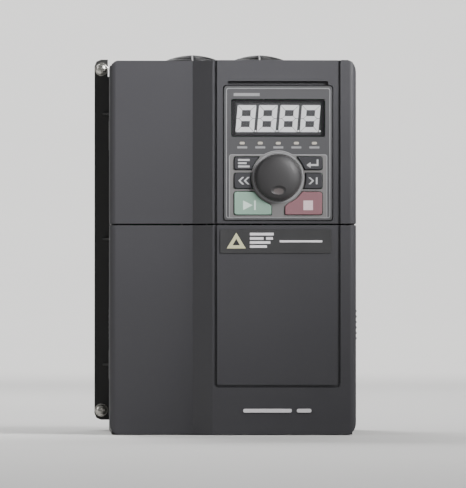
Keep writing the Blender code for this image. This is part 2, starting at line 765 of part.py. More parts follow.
def fan_frame(name, x):
    """A square fan frame with a round bore, and a motor seat on three arms."""
    half, bottom = FAN_SIZE / 2, HOUSING_TOP - 20.4
    rim = rectangle((x - half, FAN_Y - half), (x + half, FAN_Y + half), 2.5)
    bore = circle((x, FAN_Y), FAN_BORE, 28)
    obj = extruded(name, [rim, bore], bottom, bottom + 20, "Z", FAN, (x, FAN_Y))
    seat = cylinder(
        name + "_seat", 8.5, (x, FAN_Y, bottom + 0.4), (x, FAN_Y, bottom + 2.4), "Z", segments=20, helper=True
    )
    arms = []
    for i in range(3):
        arm = box(f"{name}_arm_{i}", (6, -1.3, bottom + 0.7), (FAN_BORE + 0.8, 1.3, bottom + 2.0), helper=True)
        arm.data.transform(arm.matrix_basis)
        arm.location = (x * MM, FAN_Y * MM, 0)
        arm.rotation_euler = (0, 0, math.radians(30 + 120 * i))
        arms.append(arm)
    return join(obj, seat, *arms)


def fan_rotor(name, x):
    """A hub with seven pitched blades."""
    bottom, top = HOUSING_TOP - 17.6, HOUSING_TOP - 1.2
    hub = cylinder(name, 8.2, (x, FAN_Y, bottom), (x, FAN_Y, top), "Z", FAN, 24)
    middle = (bottom + top) / 2
    blades = []
    for i in range(7):
        blade = box(f"{name}_blade_{i}", (7, -5.6, -0.6), (16.8, 5.6, 0.6), helper=True)
        blade.data.transform(Matrix.Rotation(math.radians(38), 4, "X") @ blade.matrix_basis)
        blade.location = (x * MM, FAN_Y * MM, middle * MM)
        blade.rotation_euler = (0, 0, math.tau * i / 7)
        blades.append(blade)
    return join(bevel(hub, 0.8, 1), *blades)


def fan_lead(name, side):
    """A fan's lead and its plug, under the fan cover beside the fan."""
    top = HOUSING_TOP - 3
    route = [
        (side * 41.0, FAN_Y - 10, top - 12), (side * 44, FAN_Y - 10, top - 11),
        (side * 49, FAN_Y - 6, top - 13), (side * 53, FAN_Y + 2, top - 10), (side * 54, FAN_Y + 5, top - 4),
    ]
    lead = tube(name, route, 1.1, RUBBER)
    low, high = sorted((side * 49.5, side * 58.5))
    plug = box(name + "_plug", (low, FAN_Y + 1, top - 5), (high, FAN_Y + 9, top + 2.4), helper=True)
    return join(lead, plug)


# ---- keypad ----------------------------------------------------------------------------------
def key_outline(x0, x1, z0, z1):
    """A key's outline relative to the knob's axis: a rectangle, cut by the ring round the knob.

    The outline is for the left side, where x runs from x0 on the outside to x1 on the inside.
    """
    corner = 1.2
    inner = []
    steps = 8
    for i in range(steps + 1):
        z = z0 + (z1 - z0) * i / steps
        reach = math.sqrt(max(KEY_RING_RADIUS**2 - z * z, 0.0))
        inner.append((min(x1, -reach), z))
    return [
        *inner,
        *arc((x0 + corner, z1 - corner), corner, 90, 180, 2),
        *arc((x0 + corner, z0 + corner), corner, 180, 270, 2),
    ]


KEY_ZONES = {
    "top": (-25.8, -11.0, 4.6, 12.2),
    "middle": (-25.8, -11.0, -6.4, 2.6),
    "bottom": (-25.8, -4.0, -21.8, -8.4),
}
KEYS = {
    "key_program": (-1, "top", KEY_GREY),
    "key_enter": (1, "top", KEY_GREY),
    "key_shift": (-1, "middle", KEY_GREY),
    "key_jog": (1, "middle", KEY_GREY),
    "key_run": (-1, "bottom", KEY_GREEN),
    "key_stop": (1, "bottom", KEY_RED),
}


def key_points(side, zone, grow=0.0):
    """The outline of a key in the frame, widened all round by grow for its opening."""
    x0, x1, z0, z1 = KEY_ZONES[zone]
    outline = key_outline(x0 - grow, x1 + grow, z0 - grow, z1 + grow)
    if grow:
        outline = [(x + (grow if i <= 8 and x < x1 else 0), z) for i, (x, z) in enumerate(outline)]
    return [(KNOB_X - side * x, KNOB_Z + z) for x, z in outline]


def key(name):
    side, zone, material = KEYS[name]
    x0, x1, z0, z1 = KEY_ZONES[zone]
    origin = (KNOB_X - side * (x0 + x1) / 2, KNOB_Z + (z0 + z1) / 2)
    front = KEYPAD_FRONT - KEY_PROUD
    obj = extruded(name, [key_points(side, zone)], front, front + KEY_DEPTH, "Y", material, origin)
    return bevel(obj, 0.35, 1, 60)


def keypad_bezel():
    """The keypad's front plate, with its openings."""
    rim = rectangle((KEYPAD_X[0], KEYPAD_Z[0]), (KEYPAD_X[1], KEYPAD_Z[1]), 1.6)
    holes = [key_points(side, zone, 0.35) for side, zone, _ in KEYS.values()]
    holes.append(circle((KNOB_X, KNOB_Z), 4.2, 16))
    holes.append(rectangle((-1.1, 174.9), (54.1, 197.1), 1.0))
    return extruded("keypad_bezel", [rim, *holes], KEYPAD_FRONT, KEYPAD_FRONT + BEZEL_THICKNESS, "Y", OVERLAY)


def keypad_case():
    """The tray behind the bezel."""
    front, rear = KEYPAD_FRONT + BEZEL_THICKNESS + FIT, COVER_REAR - 1.2
    obj = box("keypad_case", (KEYPAD_X[0], front, KEYPAD_Z[0]), (KEYPAD_X[1], rear, KEYPAD_Z[1]), HOUSING)
    space = box(
        "case_space", (KEYPAD_X[0] + 1.6, front - 3, KEYPAD_Z[0] + 1.6),
        (KEYPAD_X[1] - 1.6, rear - 1.8, KEYPAD_Z[1] - 1.6), helper=True,
    )
    hole = box(
        "case_plug_hole", (KNOB_X - 6.2, rear - 4, PLUG_Z - 4.2), (KNOB_X + 6.2, rear + 4, PLUG_Z + 4.2),
        helper=True,
    )
    return cut(obj, space, hole)


SWITCH_FACE = KEYPAD_FRONT + 7.2
BOARD_FACE = KEYPAD_FRONT + 9.4


def keypad_board():
    """The keypad's circuit board with its six push switches."""
    obj = box(
        "keypad_board", (KEYPAD_X[0] + 2.2, BOARD_FACE, KEYPAD_Z[0] + 2.2),
        (KEYPAD_X[1] - 2.2, BOARD_FACE + 1.6, KEYPAD_Z[1] - 2.2), BOARD,
    )
    switches = []
    for name, (side, zone, _) in KEYS.items():
        x0, _, z0, z1 = KEY_ZONES[zone]
        x, z = KNOB_X - side * (x0 + 5.4), KNOB_Z + (z0 + z1) / 2
        switches.append(
            box(
                f"switch_{name}", (x - 2.5, SWITCH_FACE, z - 2.5), (x + 2.5, BOARD_FACE + 0.5, z + 2.5),
                helper=True,
            )
        )
    return join(obj, *switches)


def keypad_plug():
    """The plug that reaches back through the cover into the control board's socket."""
    front = BOARD_FACE + 1.6 + FIT
    return box(
        "keypad_plug", (KNOB_X - 5.5, front, PLUG_Z - 3.7), (KNOB_X + 5.5, COVER_REAR + 8.6, PLUG_Z + 3.7),
        TERMINAL,
    )


def display_window():
    front = KEYPAD_FRONT + 0.2
    pane = rectangle((-0.8, 175.2), (53.8, 196.8), 0.8)
    return extruded("display_window", [pane], front, front + 1.5, "Y", WINDOW)


def display_module():
    """A four-digit seven-segment display."""
    front = KEYPAD_FRONT + 2.3
    return bevel(box("display_module", (1.3, front, 176.2), (51.7, BOARD_FACE - FIT, 195.2), DISPLAY), 0.4, 1)


def encoder():
    """The rotary encoder's body on the keypad's board."""
    obj = box(
        "rotary_encoder", (KNOB_X - 6, KEYPAD_FRONT + 2.6, KNOB_Z - 6),
        (KNOB_X + 6, BOARD_FACE - FIT, KNOB_Z + 6), STEEL,
    )
    bore = cylinder(
        "encoder_bore", 3.3, (KNOB_X, KEYPAD_FRONT, KNOB_Z), (KNOB_X, KEYPAD_FRONT + 6, KNOB_Z), "Y",
        segments=20,
        helper=True,
    )
    return cut(obj, bore)


def encoder_shaft():
    return smooth(cylinder(
        "encoder_shaft", 3.0, (KNOB_X, KEYPAD_FRONT - 5.5, KNOB_Z), (KNOB_X, KEYPAD_FRONT + 5.4, KNOB_Z),
        "Y", STEEL, 20,
    ))


def knob():
    """The knob: a shallow cone with a finger dimple, bored for the shaft."""
    back, front = KEYPAD_FRONT - 0.5, KEYPAD_FRONT - 8.5
    bm = bmesh.new()
    bmesh.ops.create_cone(
        bm, cap_ends=True, segments=36, radius1=KNOB_RADIUS * MM, radius2=(KNOB_RADIUS - 1.0) * MM,
        depth=(back - front) * MM,
    )
    obj = place("knob", mesh_from("knob", bm), KNOB)
    obj.location = (KNOB_X * MM, (back + front) / 2 * MM, KNOB_Z * MM)
    obj.rotation_euler = TURN_TO["Y"]
    bevel(obj, 1.2, 2)
    bore = cylinder(
        "knob_bore", 3.3, (KNOB_X, back + 3, KNOB_Z), (KNOB_X, front + 2.6, KNOB_Z), "Y", segments=20,
        helper=True,
    )
    ball = bmesh.new()
    bmesh.ops.create_uvsphere(ball, u_segments=16, v_segments=10, radius=7 * MM)
    dimple = place("knob_dimple", mesh_from("knob_dimple", ball), helper=True)
    dimple.location = (KNOB_X * MM, (front - 5.8) * MM, (KNOB_Z - 7.8) * MM)
    return smooth(cut(obj, bore, dimple))


# ---- assembly --------------------------------------------------------------------------------
def main():
    clear_scene()
    drive = body_at("body_drive", (0, 0, 0))
    carry(
        drive,
        rear_housing(), main_housing(), upper_cover(), heatsink(),
        power_module("igbt_module", -53.5, 53.5, 120, 165),
        power_module("rectifier_module", -42, 30, 62, 96),
        power_board(), transformer(), precharge_relay(), common_mode_choke(),
        main_terminal_block(), ground_terminal(), inner_frame(), control_board(),
        control_terminal_block(), control_processor(), charge_lamp(), keypad_socket(), ribbon_cable(),
        cable_entry_plate(), rating_plate(),
    )
    capacitor_spots = ((-43, 188), (-5, 188), (-43, 150), (-5, 150))
    carry(drive, *[capacitor(f"dc_capacitor_{i + 1}", x, z) for i, (x, z) in enumerate(capacitor_spots)])
    carry(drive, current_sensor("current_sensor_1", 10), current_sensor("current_sensor_2", 40))
    carry(drive, *[grommet(f"cable_grommet_{i + 1}", x) for i, x in enumerate(ENTRIES_X)])
    left, right = COVER_SCREWS_X
    carry(drive, cover_screw("upper_cover_screw_left", left), cover_screw("upper_cover_screw_right", right))

    terminal_cover = body_at("body_terminal_cover", (0, COVER_REAR, SEAM / 2))
    carry(terminal_cover, lower_cover(), cover_label(), cover_badge())

    keypad = body_at("body_keypad", (KNOB_X, KEYPAD_FRONT, (KEYPAD_Z[0] + KEYPAD_Z[1]) / 2))
    carry(
        keypad, keypad_bezel(), keypad_case(), keypad_board(), keypad_plug(), display_window(),
        display_module(), encoder(),
    )
    carry(keypad, *[key(name) for name in KEYS])
    turning = body_at("body_knob", (KNOB_X, KEYPAD_FRONT, KNOB_Z))
    carry(turning, knob(), encoder_shaft())

    fan_unit = body_at("body_fan_unit", (0, FAN_Y, HOUSING_TOP))
    carry(fan_unit, fan_cover())
    for side, word in ((-1, "left"), (1, "right")):
        x = side * FAN_X
        carry(fan_unit, fan_guard(f"fan_guard_{word}", x), fan_frame(f"fan_frame_{word}", x))
        carry(fan_unit, fan_lead(f"fan_lead_{word}", side))
        spinning = body_at(f"body_fan_rotor_{word}", (x, FAN_Y, HOUSING_TOP))
        carry(spinning, fan_rotor(f"fan_rotor_{word}", x))


main()
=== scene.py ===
"""The looks of a wall-mounted variable frequency drive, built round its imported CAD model.

Every place comes from the CAD nodes' boxes. Lengths are in millimetres in the frame's axes: X to the
right seen from the front, +Y towards the wall, Z up. They are multiplied by MM where they reach Blender.
"""

import math
import random

import bmesh
import bpy
from mathutils import Matrix, Vector


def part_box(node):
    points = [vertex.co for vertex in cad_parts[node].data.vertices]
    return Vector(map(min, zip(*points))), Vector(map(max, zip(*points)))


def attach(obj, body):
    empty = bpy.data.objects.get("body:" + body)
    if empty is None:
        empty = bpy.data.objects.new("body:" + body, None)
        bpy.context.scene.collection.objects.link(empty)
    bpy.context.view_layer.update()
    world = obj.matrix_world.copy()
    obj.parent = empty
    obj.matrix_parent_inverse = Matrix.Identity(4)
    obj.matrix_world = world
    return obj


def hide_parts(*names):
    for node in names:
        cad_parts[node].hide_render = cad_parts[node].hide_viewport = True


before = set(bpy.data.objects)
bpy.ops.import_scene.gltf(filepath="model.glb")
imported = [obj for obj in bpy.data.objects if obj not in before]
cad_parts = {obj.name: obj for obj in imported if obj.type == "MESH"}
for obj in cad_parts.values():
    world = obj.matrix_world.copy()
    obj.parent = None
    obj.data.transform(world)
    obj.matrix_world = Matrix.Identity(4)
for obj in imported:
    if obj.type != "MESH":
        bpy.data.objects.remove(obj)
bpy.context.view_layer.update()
MM = 0.001
TURN = 2 * math.pi


def corners(node):
    """A CAD node's lowest and highest corner and its middle, in millimetres."""
    low, high = (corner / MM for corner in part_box(node))
    return low, high, (low + high) / 2


# ---- places read from the frame ----------------------------------------------------------------
UPPER_LOW, UPPER_HIGH, _ = corners("upper_cover")
LOWER_LOW, LOWER_HIGH, _ = corners("lower_cover")
FRONT = UPPER_LOW.y
COVER_REAR = UPPER_HIGH.y - 1.0
HALF_WIDTH = UPPER_HIGH.x
SHOULDER_FRONT = FRONT + 8.6
SLOPE_X = (-23.5, -12.0)
WALL = 2.5
GROOVES_X = (-10.2, 62.3)
GROOVE_WIDTH, GROOVE_DEPTH = 1.7, 1.3
PANEL_BOTTOM = 28.5
CORNER_WIDE, CORNER_STRETCH = 5.2, 1.45

PAD_LOW, PAD_HIGH, _ = corners("keypad_bezel")
KNOB_LOW, KNOB_HIGH, (KNOB_X, _, KNOB_Z) = corners("knob")
KNOB_RADIUS = 13.8
BAY_RADIUS, BAY_TOP = 15.7, 13.4
DIMPLE_SQUASH, DIMPLE_DROP = (1.2, 1, 0.72), 8.2
PRINT_RISE, PRINT_SINK = 0.05, 0.02

HOUSING_LOW, HOUSING_HIGH, _ = corners("main_housing")
DUCT_LOW, DUCT_HIGH, _ = corners("rear_housing")
FLANGE_FRONT = DUCT_HIGH.y - 4.0
MOUNT_HOLES = [(side * 75.8, z) for side in (-1, 1) for z in (12.0, 221.5)]
FAN_SIDES = {"left": -1, "right": 1}
FAN_BORE = 18.8


# ---- colours and materials ---------------------------------------------------------------------
def rgb(*channels):
    """A display colour, each channel from 0 to 255, as the linear one that the shader takes."""
    shares = [value / 255 for value in channels]
    return tuple(s / 12.92 if s <= 0.04045 else ((s + 0.055) / 1.055) ** 2.4 for s in shares)


class Paint:
    """A material's node tree and its main colour, with short calls for the nodes in common use."""

    def __init__(self, name, colour, metallic=0.0, specular=0.5, **sockets):
        self.material = bpy.data.materials.new(name)
        self.material.use_nodes = True
        self.tree = self.material.node_tree
        self.main = rgb(*colour)
        self.shader = self.tree.nodes["Principled BSDF"]
        self.feed(self.shader, Metallic=metallic, Specular_IOR_Level=specular, **sockets)
        self.coords = self.node("TexCoord").outputs["Object"]

    def feed(self, node, **values):
        """Sets a node's inputs to numbers, or wires other nodes' outputs to them."""
        for socket, value in values.items():
            target = node.inputs[socket.replace("_", " ")]
            if isinstance(value, bpy.types.NodeSocket):
                self.tree.links.new(value, target)
            else:
                target.default_value = value
        return node

    def node(self, kind, **values):
        return self.feed(self.tree.nodes.new("ShaderNode" + kind), **values)

    def mapped(self, **values):
        return self.node("Mapping", Vector=self.coords, **values).outputs["Vector"]

    def noise(self, scale, detail=4.0, rough=0.55, vector=None):
        spot = vector or self.coords
        return self.node("TexNoise", Vector=spot, Scale=scale, Detail=detail, Roughness=rough).outputs["Fac"]

    def remap(self, value, low, high, to_low=0.0, to_high=1.0):
        ends = {"From_Min": low, "From_Max": high, "To_Min": to_low, "To_Max": to_high}
        return self.node("MapRange", Value=value, **ends).outputs["Result"]

    def math(self, operation, *values):
        made = self.node("Math")
        made.operation = operation
        for value, socket in zip(values, made.inputs):
            self.tree.links.new(value, socket)
        return made.outputs[0]

    def mix(self, factor, under, over):
        """A colour between two others; each is three numbers or another node's output."""
        made = self.node("Mix", Factor=factor)
        made.data_type = "RGBA"
        for value, socket in ((under, made.inputs[6]), (over, made.inputs[7])):
            if isinstance(value, tuple):
                socket.default_value = (*value, 1)
            else:
                self.tree.links.new(value, socket)
        return made.outputs[2]

    def tint(self, factor):
        return tuple(channel * factor for channel in self.main)

    def shades(self, factor, dark, light):
        """The main colour, between a darker and a lighter tint of it."""
        return self.mix(factor, self.tint(dark), self.tint(light))

    def colour(self, output):
        self.feed(self.shader, Base_Color=output)

    def rough(self, pattern, smoother, rougher, low=0.3, high=0.7):
        self.feed(self.shader, Roughness=self.remap(pattern, low, high, smoother, rougher))

    def bump(self, height, strength, depth, **under):
        made = self.node("Bump", Height=height, Strength=strength, Distance=depth, **under)
        self.feed(self.shader, Normal=made.outputs["Normal"])
        return made.outputs["Normal"]


def moulded(name, colour, roughness=0.45, grain=2400, depth=0.35, dust=0.0):
    """Injection moulded plastic: spark-eroded grain, faint flow marks and some dust."""
    paint = Paint(name, colour, specular=0.45)
    flow = paint.remap(paint.noise(9, 2, 0.5, paint.mapped(Scale=(1, 1, 0.35))), 0.3, 0.7)
    base = paint.shades(flow, 0.96, 1.04)
    if dust:
        specks = paint.remap(paint.noise(420, 8, 0.75), 0.55, 0.8, 0.0, dust)
        base = paint.mix(specks, base, rgb(150, 146, 140))
    paint.colour(base)
    paint.rough(paint.noise(22), roughness - 0.03, roughness + 0.04)
    coarse = paint.bump(paint.noise(grain / 3, 2), depth * 0.3, 0.00008)
    paint.bump(paint.noise(grain, 3, 0.6), depth, 0.00006, Normal=coarse)
    return paint.material


def metal(name, colour, roughness=0.3, streaks=(1, 1, 60), depth=0.15, stain=0.25):
    """Metal with fine streaks that run across the stretched axis, and a few duller patches."""
    paint = Paint(name, colour, metallic=1.0)
    streak = paint.noise(90, 4, 0.6, paint.mapped(Scale=streaks))
    patch = paint.remap(paint.noise(60, 5, 0.65), 0.45, 0.75, 0.0, stain)
    paint.colour(paint.mix(patch, paint.shades(streak, 0.88, 1.08), paint.tint(0.55)))
    paint.rough(streak, roughness - 0.06, roughness + 0.12)
    paint.bump(streak, depth, 0.00005)
    return paint.material


def film(name, colour, roughness=0.35):
    """A printed polyester film, nearly smooth, with slight ripples."""
    paint = Paint(name, colour)
    ripple = paint.noise(70, 2)
    paint.colour(paint.shades(paint.noise(900, 3), 0.94, 1.05))
    paint.rough(ripple, roughness - 0.04, roughness + 0.08)
    paint.bump(ripple, 0.06, 0.0003)
    return paint.material


def circuit_board(name, colour):
    """Green solder mask over copper: blocks of level or upright tracks, plain pours, and small vias."""
    paint = Paint(name, colour)

    def bricks(turn, scale, width, row, mortar):
        made = paint.node(
            "TexBrick", Vector=paint.mapped(Rotation=(math.pi / 2, 0, turn)), Scale=scale,
            Color1=(0, 0, 0, 1), Color2=(1, 1, 1, 1), Brick_Width=width, Row_Height=row, Mortar_Size=mortar,
        )
        made.offset = 0.37
        return made.outputs

    block = bricks(0, 24, 0.5, 0.25, 0.004)["Color"]
    level = paint.math("MULTIPLY", bricks(0, 170, 3.1, 0.17, 0.04)["Fac"], paint.remap(block, 0.55, 0.56))
    lines = bricks(math.pi / 2, 170, 2.3, 0.19, 0.04)["Fac"]
    upright = paint.math("MULTIPLY", lines, paint.remap(block, 0.4, 0.39))
    tracks = paint.math("MAXIMUM", level, upright)
    pour = paint.math("MULTIPLY", paint.remap(block, 0.4, 0.41), paint.remap(block, 0.55, 0.54))
    base = paint.mix(tracks, paint.mix(pour, paint.main, rgb(21, 92, 51)), rgb(46, 122, 66))
    dots = paint.node("TexVoronoi", Vector=paint.coords, Scale=230, Randomness=0.55)
    vias = paint.remap(dots.outputs["Distance"], 0.12, 0.09)
    paint.colour(paint.mix(vias, base, rgb(150, 158, 138)))
    paint.rough(paint.noise(40, 4), 0.28, 0.42)
    paint.bump(tracks, 0.3, 0.00005)
    return paint.material


def ink(name, colour):
    """Screen printing: flat, slightly uneven."""
    paint = Paint(name, colour, specular=0.3)
    paint.colour(paint.shades(paint.noise(1500, 4), 0.86, 1.08))
    paint.rough(paint.noise(700, 2), 0.45, 0.55)
    return paint.material


def lens(name, colour, alpha):
    """Clear tinted plastic, with hairline scratches."""
    paint = Paint(name, colour, Alpha=alpha)
    scratch = paint.noise(300, 6, 0.7, paint.mapped(Scale=(1, 1, 9)))
    paint.colour(paint.shades(scratch, 1, 1.2))
    paint.rough(scratch, 0.12, 0.24, 0.5, 0.75)
    paint.bump(scratch, 0.02, 0.00005)
    return paint.material


def rubber(name, colour):
    """Dull rubber with a pale bloom."""
    paint = Paint(name, colour, specular=0.3)
    paint.colour(paint.shades(paint.remap(paint.noise(120, 5), 0.45, 0.75, 0.0, 0.35), 1, 3))
    paint.rough(paint.noise(90, 3), 0.7, 0.9)
    paint.bump(paint.noise(1400, 3), 0.25, 0.00006)
    return paint.material


def lit_segments(name, colour):
    """The pale plastic of display segments, with a faint glow."""
    paint = Paint(name, colour, Emission_Strength=0.75)
    paint.feed(paint.shader, Emission_Color=(*paint.main, 1))
    paint.colour(paint.shades(paint.noise(800, 2), 0.92, 1))
    paint.rough(paint.noise(500, 2), 0.35, 0.5)
    return paint.material


LOOKS = {
    "cover": moulded("cover_grain", (55, 54.5, 58), 0.5, dust=0.03),
    "pad": moulded("keypad_grain", (70, 70, 72), 0.42, 3200, 0.25),
    "area": moulded("key_area_grain", (108, 107, 107), 0.45, 3200, 0.2),
    "pocket": moulded("pocket_grain", (40, 40, 42), 0.55),
    "housing": moulded("housing_grain", (43, 42.5, 42), 0.52, dust=0.04),
    "frame": moulded("frame_grain", (86, 86, 88), 0.6, dust=0.05),
    "key_grey": moulded("key_grain", (52, 52, 55), 0.42, 3600, 0.2),
    "key_green": moulded("key_green_grain", (130, 158, 143), 0.42, 3600, 0.2),
    "key_red": moulded("key_red_grain", (126, 90, 96), 0.42, 3600, 0.2),
    "knob": moulded("knob_grain", (48, 47, 48), 0.55, 3200, 0.25),
    # The pale ink of the knob's dimple bed is a painted highlight, not a printed mark.
    "knob_dimple_highlight": ink("knob_dimple_highlight", (88, 82, 82)),
    "black": moulded("black_moulding", (28, 28, 29), 0.48, dust=0.06),
    "resin": moulded("module_resin", (44, 44, 46), 0.55),
    "chip": moulded("chip_resin", (30, 30, 31), 0.5, 4000),
    "green": moulded("terminal_green", (38, 118, 62)),
    "fan": moulded("fan_moulding", (26, 26, 27), 0.42, dust=0.12),
    "sleeve": film("capacitor_sleeve", (30, 31, 36), 0.3),
    "label": film("label_film", (54, 54, 55), 0.34),
    "plate": film("rating_film", (190, 191, 192)),
    "ribbon": moulded("ribbon_vinyl", (150, 152, 156), 0.5),
    "rubber": rubber("grommet_rubber", (20, 20, 20)),
    "aluminium": metal("extruded_aluminium", (196, 198, 201), 0.36, (60, 60, 1), 0.2),
    "steel": metal("zinc_plate", (205, 203, 196), 0.28, (1, 1, 12), 0.1, 0.35),
    "tin": metal("tinned_copper", (206, 204, 198), 0.3, (8, 8, 8), 0.08),
    "copper": metal("enamelled_copper", (176, 92, 46), 0.3, (1, 1, 1), 0.05),
    "board": circuit_board("solder_mask", (16, 78, 43)),
    "tape": film("winding_tape", (206, 178, 60)),
    "ceramic": moulded("ceramic_body", (152, 122, 88), 0.4, 3600, 0.1),
    "ink": ink("pale_ink", (176, 176, 178)),
    "line": ink("line_ink", (140, 140, 142)),
    "white_ink": ink("white_ink", (222, 219, 222)),
    "dark_ink": ink("dark_ink", (44, 44, 46)),
    "green_ink": ink("green_ink", (205, 222, 213)),
    "red_ink": ink("red_ink", (208, 186, 190)),
    "yellow_ink": ink("yellow_ink", (200, 198, 160)),
    "window": lens("smoked_window", (40, 40, 42), 0.2),
    "segments": lit_segments("display_segments", (236, 236, 238)),
    "face": ink("display_face", (92, 92, 94)),
    "lamp": lens("lamp_red", (168, 30, 26), 0.85),
    "led": lens("indicator_lens", (176, 170, 160), 0.9),
}


# ---- outlines ----------------------------------------------------------------------------------
def steps(start, pitch, count):
    """Evenly spaced places."""
    return [start + pitch * i for i in range(count)]


def arc(centre, radius, start, end, count=8, tall=1.0):
    """Points of an arc, with its angles in degrees; tall stretches it upwards."""
    turns = [math.radians(turn) for turn in steps(start, (end - start) / count, count + 1)]
    return [(centre[0] + radius * math.cos(t), centre[1] + radius * tall * math.sin(t)) for t in turns]


def circle(centre, radius, count=48):
    """Points of a full circle, none of them twice."""
    return arc(centre, radius, 0, 360, count)[:-1]


def rectangle(low, high, corner=0.0, count=5):
    """A rectangle, with rounded corners if asked for."""
    (x0, y0), (x1, y1) = [c + corner for c in low], [c - corner for c in high]
    spots = ((x1, y0), (x1, y1), (x0, y1), (x0, y0))
    if not corner:
        return spots
    return [point for i, spot in enumerate(spots) for point in arc(spot, corner, 90 * i - 90, 90 * i, count)]


def seen(low, high, corner=0.0, grow=0.0):
    """A box's outline seen from the front, grown on every side."""
    return rectangle((low.x - grow, low.z - grow), (high.x + grow, high.z + grow), corner)


def beside(points, distance):
    """An open line of points moved to its left side by a distance."""
    moved = []
    for i, spot in enumerate(points):
        normals = []
        for a, b in zip(points[max(i - 1, 0):i + 1], points[max(i, 1):i + 2]):
            length = math.dist(a, b)
            normals.append(((a[1] - b[1]) / length, (b[0] - a[0]) / length))
        nx, ny = (sum(axis) / len(normals) for axis in zip(*normals))
        reach = distance / (nx * nx + ny * ny)
        moved.append((spot[0] + nx * reach, spot[1] + ny * reach))
    return moved


def stroke(points, width):
    """The outline of a line of the given width through the points."""
    return beside(points, width / 2) + beside(points, -width / 2)[::-1]


def smooth_route(points, per_span):
    """Points of a Catmull-Rom curve through the given ones."""
    padded = [points[0], *points, points[-1]]
    route = []
    for span in zip(padded, padded[1:], padded[2:], padded[3:]):
        for step in range(per_span):
            t = step / per_span
            route.append([
                q + 0.5 * t * (r - p + t * (2 * p - 5 * q + 4 * r - s + t * (3 * q - p - 3 * r + s)))
                for p, q, r, s in zip(*span)
            ])
    return [*route, points[-1]]


# ---- solids ------------------------------------------------------------------------------------
def soften(bm, width, segments=2, angle=40, chosen=None):
    """Rounds the edges that are sharper than an angle, or only the chosen ones of them."""
    sharp = [
        e for e in bm.edges
        if len(e.link_faces) == 2 and e.calc_face_angle(0) > math.radians(angle) and (not chosen or chosen(e))
    ]
    if sharp and width:
        size = {"offset": width * MM, "segments": segments, "profile": 0.5}
        bmesh.ops.bevel(bm, geom=sharp, affect="EDGES", clamp_overlap=True, **size)


def cleaned(bm, merge):
    """Merges doubled points, closes slits that a Boolean left and drops edges inside flat faces."""
    bmesh.ops.remove_doubles(bm, verts=bm.verts, dist=merge * MM)
    bmesh.ops.holes_fill(bm, edges=[e for e in bm.edges if e.is_boundary], sides=0)
    bmesh.ops.dissolve_limit(bm, angle_limit=math.radians(0.5), verts=bm.verts, edges=bm.edges)


def placed(centre, degrees=0, axis="Z"):
    """The matrix that turns a shape about an axis and moves it to a place."""
    return Matrix.Translation(Vector(centre) * MM) @ Matrix.Rotation(math.radians(degrees), 4, axis)


def linked(name, data):
    """A new object in the scene."""
    obj = bpy.data.objects.new(name, data)
    bpy.context.scene.collection.objects.link(obj)
    return obj


